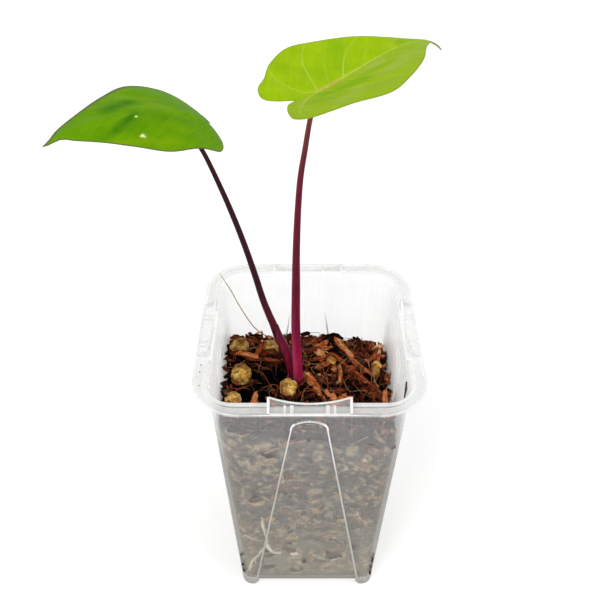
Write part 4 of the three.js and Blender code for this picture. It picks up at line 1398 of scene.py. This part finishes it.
def makeRoots():
    steps = 8
    tubes = []
    for points in roots["lines"]:
        radii = [lerp(roots["thick"], roots["thin"], i / (len(points) - 1)) for i in range(len(points))]
        tubes.append((smoothLine(points, steps), stepsBetween(radii, steps)))
    for points in roots["rootlets"]:
        tubes.append((smoothLine(points, steps), stepsBetween(roots["rootletRadii"], steps)))
    bm = tubesShape(tubes, 4)
    midX, midY, midZ = roots["tuftAt"]
    middle = Matrix.Translation(roots["tuftAt"])
    tuft = bmesh.ops.create_icosphere(bm, subdivisions=3, radius=roots["tuftRadius"], matrix=middle)
    for vert in tuft["verts"]:
        x, y, z = vert.co
        lump = 1 + 0.5 * ripple(x * 0.6, y * 0.6, z * 0.6)
        vert.co = (midX + (x - midX) * lump, midY + (y - midY) * 0.34, midZ + (z - midZ) * 0.62 * lump)
    corm = bmesh.ops.create_icosphere(bm, subdivisions=4, radius=1)["verts"]
    wide, high = roots["cormHalfWidth"], roots["cormHalfHeight"]
    for vert in corm:
        p = vert.co.copy()
        size = 1 + 0.05 * ripple(p.x * 3, p.y * 3, p.z * 3) + 0.02 * math.sin(p.z * 22)
        vert.co = Vector((p.x * wide, p.y * wide, p.z * high)) * size
        vert.co += Vector(roots["cormCentre"])
    for face in {f for v in corm for f in v.link_faces}:
        face.material_index = 1
    makePiece("cormAndRoots", bm, [rootMaterial(), cormMaterial()], ["corm_and_roots"])


makeRoots()


# Petioles

rightStem = {
    "points": [
        (-3.2, -2.9, 97.6), (-3.8, -2.8, 108), (-4.7, -2.3, 133.8), (-4.6, -1.9, 151), (-4.4, -1.5, 168.6),
        (-3.8, -1.1, 184.8), (-3.0, -0.8, 196), (-1.7, -0.6, 205), (-0.2, -0.2, 214.8), (1.68, 0, 222.4),
    ],
    "radii": [1.8, 1.85, 1.65, 1.5, 1.25, 1.05, 0.95, 0.85, 0.75, 0.9],
    # Height, colour on the left, colour on the right. The left side's paler pink is a painted highlight over
    # the petiole's own crimson.
    "colours": [
        (98, (190, 70, 104), (170, 30, 76)), (118, (196, 76, 110), (164, 26, 72)),
        (134, (150, 44, 74), (112, 16, 50)), (150, (112, 22, 44), (92, 8, 36)),
        (190, (108, 24, 40), (94, 14, 38)), (212, (118, 60, 54), (104, 44, 50)),
        (222, (132, 84, 60), (120, 70, 60)),
    ],
}
leftStem = {
    "points": [
        (-6.2, 1.2, 97.6), (-6.6, 0.7, 108), (-8.7, 0.4, 120), (-10.0, 0.4, 124.5), (-11.5, 0.4, 128.6),
        (-12.9, 0.3, 133.8), (-14.3, 0.3, 138.4), (-16.2, 0.2, 145.5), (-18.6, 0.2, 156.8),
        (-21.7, 0.1, 170.3), (-25.4, 0, 184), (-29.8, 0, 197.8), (-32, 0, 203.8), (-37.9, -0.1, 216.2),
    ],
    "radii": [1.8, 2.0, 1.75, 1.7, 1.6, 1.4, 1.3, 1.2, 1.1, 1.0, 0.9, 0.75, 0.7, 0.85],
    # The magenta on the right side is the petiole's own colour, with a painted highlight along it low down.
    "colours": [
        (98, (34, 6, 12), (150, 26, 66)), (112, (30, 6, 12), (140, 24, 62)),
        (124, (48, 8, 20), (128, 34, 64)), (134, (44, 8, 16), (96, 22, 42)),
        (150, (44, 6, 16), (60, 12, 26)), (180, (36, 8, 14), (50, 14, 22)),
        (216, (44, 14, 16), (58, 24, 26)),
    ],
}


def stemMaterial(name, stem):
    material, tree, skin = newMaterial(name, {"Roughness": 0.38, "Specular IOR Level": 0.09})
    rows = stem["colours"]
    lowest, highest = rows[0][0], rows[-1][0]
    share = spread(tree, heightOf(tree), lowest * mm, highest * mm)
    left, right = (
        paintRamp(tree, share, [((row[0] - lowest) / (highest - lowest), row[n]) for row in rows])
        for n in (1, 2)
    )
    streaks = cloud(tree, objectSpace(tree, (1, 1, 0.03)), 0.0006, 4)
    mottle = cloud(tree, objectSpace(tree, (1, 1, 0.3)), 0.0012, 4)
    uneven = spread(tree, streaks, 0.3, 0.7, -0.25, 0.25)
    # Blends from the left side's colours to the right side's, so the painted highlights stay on their side.
    rightward = calculate(tree, "ADD", attributeOf(tree, "rightward"), uneven)
    tone = blendColours(tree, spread(tree, rightward, 0.15, 0.75), left, right)
    mottled = spread(tree, mottle, 0.3, 0.7, -0.1, 0.2)
    shade = calculate(tree, "ADD", spread(tree, streaks, 0.3, 0.7, 0.66, 1.1), mottled)
    colour = addNode(tree, "ShaderNodeVectorMath", {0: tone}, operation="SCALE")
    tree.links.new(shade, colour.inputs["Scale"])
    tree.links.new(colour.outputs[0], skin.inputs["Base Color"])
    addBump(tree, skin, streaks, 0.25, 0.0002)
    return material


def makeStem(name, stem, node, addMore=None):
    steps = 10
    line = smoothLine(stem["points"], steps)
    bm = tubesShape([(line, stepsBetween(stem["radii"], steps))], 10)
    bmesh.ops.remove_doubles(bm, verts=bm.verts, dist=0.001)
    if addMore:
        addMore(bm, line)
    bm.normal_update()
    # How far each point faces right and to the front, for the two sides' colours and painted highlights.
    layer = bm.verts.layers.float.new("rightward")
    for vert in bm.verts:
        vert[layer] = 0.5 + 0.5 * vert.normal.normalized().dot(Vector((0.94, -0.34, 0)))
    makePiece(name, bm, [stemMaterial(name + "Skin", stem)], [node])


# Thin sheath that wraps the right side of the left petiole, up to a rounded tip.
sheath = {"from": 99, "to": 134.2, "halfTurn": 100, "turn": -18, "clear": 0.28, "thick": 0.3, "rounding": 7}


def addSheath(bm, line):
    grid = bmesh.new()
    bmesh.ops.create_grid(grid, x_segments=24, y_segments=40, size=0.5)
    for vert in grid.verts:
        around, up = vert.co.x * 2, vert.co.y + 0.5
        z = lerp(sheath["from"], sheath["to"] - sheath["rounding"] * abs(around) ** 1.6, up)
        centre = min(line, key=lambda p: abs(p.z - z))
        slant = (z - centre.z) * 0.18
        close = 1.9 - 0.5 * smoothStep(112, 134, z)
        radius = close + sheath["clear"] * (1 + 0.8 * abs(around) ** 3)
        angle = math.radians(around * sheath["halfTurn"] + sheath["turn"])
        vert.co = (centre.x - slant + radius * math.cos(angle), centre.y + radius * math.sin(angle), z)
    bmesh.ops.recalc_face_normals(grid, faces=grid.faces)
    bmesh.ops.solidify(grid, geom=grid.faces[:], thickness=sheath["thick"])
    pour(bm, grid)


makeStem("rightPetiole", rightStem, "petiole_right")
makeStem("leftPetiole", leftStem, "petiole_left", addSheath)


# Blades

bladeMesh = {"outlineSteps": 10, "rings": 48, "veinSteps": 60, "thick": 0.55, "puff": 0.3, "wave": 0.45}

# Lengths are in millimetres on the flat blade, along the midrib and to its left. The turns are in degrees.
# Each half's outline is a list of degrees from the midrib and reach from the petiole.
# A vein is its width, its strength and its places.
# A mark is a soft stripe between two places: its width, and how much darker green it is (paler if below 0).
# Darker marks are painted shade in the blade's folds; paler ones are painted sheen.
# A spot is a place and a radius.
rightLeaf = {
    "at": (1.8, 0, 222.9), "heading": 48, "rise": -2.4, "roll": -0.3,
    "right": {"fold": 3.6, "curl": 0.5, "outline": [
        (0, 66.2), (0.5, 54.5), (2.5, 52), (4.9, 49.4), (8.2, 44.8), (12.6, 40.8), (20.7, 35.9),
        (29.8, 31.2), (43, 26.1), (65, 21.2), (95, 14.8), (125, 16.5), (147, 22.1), (155, 22.4),
        (162, 19.3), (170, 15.9), (177, 12.8), (180, 8.9),
    ]},
    "left": {"fold": 12.5, "curl": 0.0, "outline": [
        (0, 66.2), (0.5, 54.5), (1.4, 49), (3.2, 45), (8, 40), (20, 33.3), (40, 26.5), (65, 22.9),
        (95, 17.7), (125, 15.5), (148, 17.4), (164, 17.4), (180, 8.9),
    ]},
    "slopeGrowth": 0.8, "tipDroop": 1.02, "tailDroop": 0.35, "tailFrom": 54, "lobeDroop": -0.14,
    "veins": [
        (0.5, 0.85, [(0, 0), (12, 0.3), (24, 0), (38, -0.2), (50, 0), (62, 0)]),
        (0.24, 0.8, [(0.3, 0.3), (3.4, 6.1), (6.8, 11.8), (11.3, 16.2), (16, 19)]),
        (0.24, 0.75, [(-0.3, 0.4), (-4.1, 1.8), (-5.5, 5.1), (-6.2, 9.5), (-5.2, 13.5), (-3, 17)]),
        (0.24, 0.8, [(11.8, 0.5), (15.5, 3.6), (18.9, 6.1), (25.4, 9.4), (31, 11)]),
        (0.2, 0.4, [(5.5, 0.5), (9.3, 5.0), (14.6, 10.4), (21, 14.6)]),
        (0.2, 0.3, [(20, 0.4), (27, 4.2), (34, 6.6), (39, 7.2)]),
        (0.2, 0.2, [(29, 0.3), (36, 2.8), (42, 3.6)]),
        (0.3, 0.3, [(0.3, -0.3), (6.4, -6.3), (13.3, -10.2), (21, -14), (26, -15.4)]),
        (0.3, 0.55, [(-0.3, -0.3), (-5.2, -1.2), (-10, -3.4), (-15, -6.6), (-17, -9)]),
        (0.3, 0.2, [(9, -0.4), (16, -5.2), (24, -8.6), (31, -10.4)]),
        (0.3, 0.15, [(17, -0.4), (25, -4.2), (33, -6.8), (38, -7.4)]),
        (0.3, 0.15, [(27, -0.3), (35, -3), (41, -4)]),
        (0.3, 0.2, [(0, -0.5), (-1, -6), (2, -12), (6, -17)]),
    ],
    "marks": [
        ((-1.4, -2.6), (13.8, -6.0), 1.7, 0.75), ((14, -3.4), (27, -5.4), 1.3, 0.6),
        ((-9, -4), (4, -9), 1.4, 0.5), ((26.4, -2.6), (15, -2.6), 1.5, -0.7),
        ((-2.5, -10.1), (8, -8.6), 1.8, -0.7), ((20, -8.5), (34, -7.5), 2.0, -0.55),
        ((-7, -1.8), (-12, -4.5), 1.2, -0.5), ((14, 4), (22, 12), 2.5, 0.35), ((4, 9), (9, 5), 2.4, 0.3),
        ((40, 1.6), (50, 0.6), 1.6, 0.5),
    ],
    "ribTan": 11.6,
    "spots": [],
}
leftLeaf = {
    "at": (-37.7, 0, 216.9), "heading": 207.3, "rise": 21, "roll": -2.2,
    "right": {"fold": -6.5, "curl": 0.1, "outline": [
        (0, 39.7), (2.4, 37.6), (8, 35), (20, 28.7), (40, 24.3), (65, 23), (95, 19.1), (125, 17.5),
        (148, 16.8), (164, 14), (180, 9.3),
    ]},
    "left": {"fold": -7.5, "curl": -0.43, "outline": [
        (0, 39.7), (2, 34.4), (8, 31.3), (20, 26.5), (40, 22.4), (65, 20.1), (95, 16.6), (125, 17.6),
        (148, 15.5), (164, 12.2), (180, 9.3),
    ]},
    "slopeGrowth": -1.53, "tipDroop": -0.62, "tailDroop": 0, "tailFrom": 34, "lobeDroop": 2.18,
    "veins": [
        (0.55, 0.5, [(0, 0), (4, -1.2), (9, -1.2), (14, 0.6), (19, 2.2), (26, 2.0), (33, 0.4), (40, 0)]),
        (0.22, 0.6, [(0, 0.4), (5.8, 6.1), (7.7, 9.1), (10.7, 12.1), (15, 15.6)]),
        (0.25, 0.3, [(0, 0.4), (-4, 5), (-6, 10), (-5, 15)]),
        (0.3, 0.3, [(10, -0.6), (16, 4.6), (22, 8), (26, 9)]),
        (0.3, 0.3, [(19, 2), (25, 5.4), (30, 6)]),
        (0.3, 0.3, [(0, -0.4), (5, -7), (10, -12.6), (15, -16)]),
        (0.25, 0.3, [(0, -0.4), (-4, -5), (-7, -9), (-8, -13)]),
        (0.3, 0.3, [(7, -1.2), (13, -6.2), (19, -10), (24, -12)]),
        (0.3, 0.25, [(15, 0.8), (21, -3.4), (27, -6.4), (31, -7.2)]),
    ],
    "marks": [
        ((13, -7.4), (19, -5.0), 3.0, 0.8), ((13, 0.6), (16, 3.6), 1.6, 0.6), ((15, 3), (20, 6), 1.6, 0.4),
        ((9, -3), (3, -2), 1.2, -0.45), ((18, 6), (24, 8), 1.6, 0.45), ((5, 15.0), (11, 14.6), 1.5, -0.6),
        ((14, 13), (22, 12), 1.4, -0.6), ((6, -9), (14, -12), 1.5, -0.4), ((0, 6), (8, 3), 2.5, 0.25),
    ],
    "ribTan": 0,
    "spots": [(13.2, 2.4, 0.5), (14.2, 11.2, 0.85)],
}


def midribSlope(leaf, along):
    if along < 0:
        return math.radians(-leaf["lobeDroop"] * along)
    tail = leaf["tailDroop"] * max(0, along - leaf["tailFrom"])
    return math.radians(leaf["slopeGrowth"] * along - leaf["tipDroop"] * along * along / 50 - tail)


def midribPoint(leaf, along):
    steps = max(2, math.ceil(abs(along)))
    step = along / steps
    run = height = 0
    for i in range(steps):
        slope = midribSlope(leaf, (i + 0.5) * step)
        run += step * math.cos(slope)
        height += step * math.sin(slope)
    return run, height


# Point of the blade's upper face. Each half is folded up from the midrib by its fold, and more by its curl.
def bladePoint(leaf, along, across):
    half = leaf["right"] if across < 0 else leaf["left"]
    soft = 0.7                  # the fold at the midrib is a round valley this wide
    width = math.sqrt(across * across + soft * soft) - soft
    fold, curl = math.radians(half["fold"]), math.radians(half["curl"]) or 1e-6
    side = math.copysign((math.sin(fold + curl * width) - math.sin(fold)) / curl, across)
    side += across - math.copysign(width, across)
    lift = (math.cos(fold) - math.cos(fold + curl * width)) / curl
    slope = midribSlope(leaf, along)
    run, height = midribPoint(leaf, along)
    point = Vector((run - math.sin(slope) * lift, side, height + math.cos(slope) * lift))
    turn = Matrix.Rotation(math.radians(leaf["heading"]), 3, "Z")
    turn = turn @ Matrix.Rotation(-math.radians(leaf["rise"]), 3, "Y")
    turn = turn @ Matrix.Rotation(math.radians(leaf["roll"]), 3, "X")
    return turn @ point + Vector(leaf["at"])


def bladeNormal(leaf, along, across):
    step = 0.2
    ahead = bladePoint(leaf, along + step, across) - bladePoint(leaf, along - step, across)
    beside = bladePoint(leaf, along, across + step) - bladePoint(leaf, along, across - step)
    return ahead.cross(beside).normalized()


# Edge of the flat blade, anticlockwise from the tip back to the tip.
def bladeEdge(leaf):
    halves = []
    for half, side in ((leaf["left"], 1), (leaf["right"], -1)):
        points = []
        for degrees, reach in half["outline"]:
            angle = math.radians(degrees)
            points.append((reach * math.cos(angle), side * reach * math.sin(angle), 0))
        halves.append(smoothLine(points, bladeMesh["outlineSteps"]))
    return halves[0] + halves[1][::-1][1:]


# Every point along the veins, with the width and strength of its vein there, to look up the nearest one.
def veinMap(leaf):
    places = []
    for width, strength, points in leaf["veins"]:
        line = smoothLine([(x, y, 0) for x, y in points], bladeMesh["veinSteps"])
        for k, point in enumerate(line):
            share = k / (len(line) - 1)
            places.append((point, width * (1 - 0.5 * share), strength * (1 - 0.4 * share)))
    tree = kdtree.KDTree(len(places))
    for index, place in enumerate(places):
        tree.insert(place[0], index)
    tree.balance()
    return tree, places


# How strong a mark is at a place: its full amount on its line, and less with the distance from it.
def markShare(point, start, end, width, amount):
    start, end = Vector((*start, 0)), Vector((*end, 0))
    share = clamp((point - start).dot(end - start) / (end - start).length_squared)
    distance = (point - start.lerp(end, share)).length
    return amount * math.exp(-(distance / width) ** 2)


# Grid over the flat blade, finer beside the veins. The layer rim holds the distance in from the edge.
def flatBlade(leaf, nearest):
    edge = bladeEdge(leaf)
    count, rings = len(edge) - 1, bladeMesh["rings"]
    bm = bmesh.new()
    bmesh.ops.create_grid(bm, x_segments=count, y_segments=rings, size=0.5)
    rim = bm.verts.layers.float.new("rim")
    for vert in bm.verts:
        place = edge[round((vert.co.x + 0.5) * count)]
        share = (vert.co.y + 0.5) ** 0.85
        vert[rim] = (1 - share) * place.length
        vert.co = Vector((place.x * share, place.y * share, 0))
    bmesh.ops.remove_doubles(bm, verts=bm.verts, dist=0.002)
    for reach in (0.9, 0.5):
        close = [
            e for e in bm.edges
            if e.calc_length() > 0.2 and nearest.find((e.verts[0].co + e.verts[1].co) / 2)[2] < reach
        ]
        bmesh.ops.subdivide_edges(bm, edges=close, cuts=1, use_grid_fill=True)
    bmesh.ops.triangulate(bm, faces=[f for f in bm.faces if len(f.verts) > 4])
    return bm, rim


def makeBlade(name, leaf, looks, node):
    nearest, veins = veinMap(leaf)
    bm, rim = flatBlade(leaf, nearest)
    vein, spot, side, length, mark, tan = (
        bm.verts.layers.float.new(n) for n in ("vein", "spot", "across", "along", "mark", "ribTan")
    )
    stripe, normal = (bm.verts.layers.float_vector.new(n) for n in ("stripe", "bladeNormal"))
    for vert in bm.verts:
        flat = vert.co.copy()
        along, across = flat.x, flat.y
        _, index, distance = nearest.find(flat)
        _, width, strength = veins[index]
        vert[vein] = strength * math.exp(-(distance / width) ** 2)
        onRib = math.exp(-(across / 0.7) ** 2) * smoothStep(-1, 0.5, along)
        vert[tan] = onRib * smoothStep(leaf["ribTan"], leaf["ribTan"] - 3, along)
        vert[side], vert[length] = across, along
        vert[stripe] = (along - 1.1 * abs(across), 0.12 * across, 0)
        vert[mark] = sum(markShare(flat, *row) for row in leaf["marks"])
        spots = [1 - smoothStep(0.5 * r, r, math.hypot(along - x, across - y)) for x, y, r in leaf["spots"]]
        vert[spot] = max(spots, default=0)
        puff = bladeMesh["puff"] * (1 - math.exp(-distance / 2.5)) - 0.1 * math.exp(-(distance / 0.4) ** 2)
        share = flat.length / (flat.length + vert[rim] + 1e-6)
        wave = bladeMesh["wave"] * share ** 2 * ripple(along * 0.11, across * 0.11, 3.3)
        wave += 0.12 * ripple(along * 0.4, across * 0.4)
        lift = (puff + wave) * smoothStep(0, 4, vert[rim])
        vert[normal] = bladeNormal(leaf, along, across)
        vert.co = bladePoint(leaf, along, across) + vert[normal] * (lift - 0.1)
    grown = bmesh.ops.extrude_face_region(bm, geom=bm.faces[:])["geom"]
    below = {item for item in grown if isinstance(item, bmesh.types.BMVert)}
    for vert in below:
        vert.co -= vert[normal] * bladeMesh["thick"] * lerp(0.45, 1, smoothStep(0, 1.5, vert[rim]))
    for face in bm.faces:
        face.material_index = 1 if below.issuperset(face.verts) else 0
    bmesh.ops.recalc_face_normals(bm, faces=bm.faces)
    makePiece(name, bm, [leafSkins[look] for look in looks], [node])


def leafMaterial(name, look):
    material, tree, skin = newMaterial(name, {
        "Roughness": look["roughness"], "Specular IOR Level": look["specular"],
    })
    where = objectSpace(tree)
    across, mark = attributeOf(tree, "across"), attributeOf(tree, "mark")
    blotch = cloud(tree, where, 0.009, 4)
    fine = cloud(tree, where, 0.0012, 4)
    base = paintRamp(tree, blotch, [(0.3, look["dark"]), (0.5, look["mid"]), (0.72, look["light"])])
    # Painted sheen over the half of the blade to the right of the midrib.
    base = lay(tree, spread(tree, across, 0.4, -1.2), look["sheenHalf"], base, look["sheenColour"])
    # Pale and dark stripes along the side veins: painted sheen and shade of the ripples between them.
    stripes = cloud(tree, attributeOf(tree, "stripe", "Vector"), 1.9, 3)
    base = lay(tree, spread(tree, stripes, 0.5, 0.66), look["stripes"], base, look["paleStripe"])
    base = lay(tree, spread(tree, stripes, 0.48, 0.34), look["stripes"], base, look["darkStripe"])
    # Painted shade from the marks above 0, painted sheen from those below.
    base = lay(tree, spread(tree, mark, 0.0, 1.0), 1.0, base, look["shadeMark"])
    base = lay(tree, spread(tree, mark, 0.0, -1.0), 1.0, base, look["sheenMark"])
    base = lay(tree, spread(tree, fine, 0.4, 0.7), 0.16, base, look["light"])
    net = cells(tree, where, 0.0016, "DISTANCE_TO_EDGE").outputs["Distance"]
    base = lay(tree, spread(tree, net, 0.12, 0.0), look["net"], base, look["veinColour"])
    base = lay(tree, attributeOf(tree, "vein"), look["veins"], base, look["veinColour"])
    tanShare = calculate(tree, "MULTIPLY", attributeOf(tree, "ribTan"), spread(tree, fine, 0.35, 0.6))
    base = lay(tree, tanShare, 0.75, base, look["ribColour"])
    # Painted shade along the blade's edge: a darker band at the margin, wider on the half right of the
    # midrib.
    rimWidth = spread(tree, across, 2, -1, 0.4, look["rimWidth"])
    rimShare = spread(tree, calculate(tree, "DIVIDE", attributeOf(tree, "rim"), rimWidth), 1, 0.4)
    base = lay(tree, rimShare, look["rim"], base, look["edgeShadeColour"])
    base = lay(tree, spread(tree, attributeOf(tree, "along"), *look["tail"]), 0.7, base, look["tailColour"])
    base = blendColours(tree, attributeOf(tree, "spot"), base, srgb(*look["spotColour"]))
    tree.links.new(base, skin.inputs["Base Color"])
    relief = calculate(tree, "ADD", spread(tree, net, 0.0, 0.15, 0.0, 1.0), fine)
    addBump(tree, skin, relief, 0.12, 0.0002)
    return material


sameOnAll = {"ribColour": (196, 150, 96), "tailColour": (128, 128, 70), "spotColour": (232, 240, 170)}
leafLooks = {
    "limeUpper": {
        "dark": (138, 176, 0), "mid": (148, 184, 0), "light": (156, 192, 6),
        "sheenHalf": 0.85, "sheenColour": (144, 174, 26),
        "stripes": 0.2, "paleStripe": (168, 200, 20), "darkStripe": (124, 168, 4),
        "shadeMark": (112, 164, 2), "sheenMark": (158, 178, 76),
        "veins": 0.85, "net": 0.08, "veinColour": (194, 210, 90),
        "rim": 0.55, "rimWidth": 0.6, "edgeShadeColour": (128, 148, 20),
        "roughness": 0.45, "specular": 0.03, "tail": (54, 60),
    },
    "limeLower": {
        "dark": (132, 164, 30), "mid": (142, 176, 40), "light": (152, 186, 52),
        "sheenHalf": 0, "sheenColour": (144, 174, 26),
        "stripes": 0.15, "paleStripe": (168, 192, 80), "darkStripe": (124, 160, 24),
        "shadeMark": (132, 168, 30), "sheenMark": (156, 182, 64),
        "veins": 0.9, "net": 0.2, "veinColour": (186, 206, 110),
        "rim": 0.55, "rimWidth": 0.6, "edgeShadeColour": (128, 148, 20),
        "roughness": 0.5, "specular": 0.08, "tail": (54, 60),
    },
    "greenUpper": {
        "dark": (88, 140, 0), "mid": (97, 149, 0), "light": (110, 158, 0),
        "sheenHalf": 0.3, "sheenColour": (96, 148, 0),
        "stripes": 0.28, "paleStripe": (122, 164, 2), "darkStripe": (74, 130, 0),
        "shadeMark": (44, 110, 2), "sheenMark": (124, 158, 4),
        "veins": 0.7, "net": 0.08, "veinColour": (124, 162, 24),
        "rim": 0.85, "rimWidth": 2.0, "edgeShadeColour": (96, 100, 62),
        "roughness": 0.5, "specular": 0.03, "tail": (60, 70),
    },
    "greenLower": {
        "dark": (104, 140, 34), "mid": (116, 150, 44), "light": (130, 162, 54),
        "sheenHalf": 0, "sheenColour": (98, 148, 4),
        "stripes": 0.15, "paleStripe": (136, 166, 64), "darkStripe": (98, 134, 30),
        "shadeMark": (100, 138, 30), "sheenMark": (130, 160, 50),
        "veins": 0.9, "net": 0.2, "veinColour": (160, 186, 90),
        "rim": 0.7, "rimWidth": 1.2, "edgeShadeColour": (96, 100, 62),
        "roughness": 0.5, "specular": 0.1, "tail": (60, 70),
    },
}
leafSkins = {name: leafMaterial(name, {**sameOnAll, **look}) for name, look in leafLooks.items()}
makeBlade("rightBlade", rightLeaf, ("limeUpper", "limeLower"), "blade_right")
makeBlade("leftBlade", leftLeaf, ("greenUpper", "greenLower"), "blade_left")


# Loose strand of coir

strand = {
    "points": [
        (-10.5, 18, 103), (-13.9, 17, 110.8), (-17.2, 14, 115.2), (-21.2, 14, 119.6), (-26.5, 14, 131.2),
        (-29.1, 14, 138.3), (-32.7, 14, 146.4),
    ],
    "radii": [0.22, 0.22, 0.21, 0.2, 0.18, 0.16, 0.1],
    "colour": (176, 142, 104),
}


def makeStrand():
    steps = 12
    bm = tubesShape([(smoothLine(strand["points"], steps), stepsBetween(strand["radii"], steps))], 3)
    skin = fibreMaterial("dryStrand", strand["colour"])
    makePiece("coirStrand", bm, [skin], ["coir_strand"])


makeStrand()
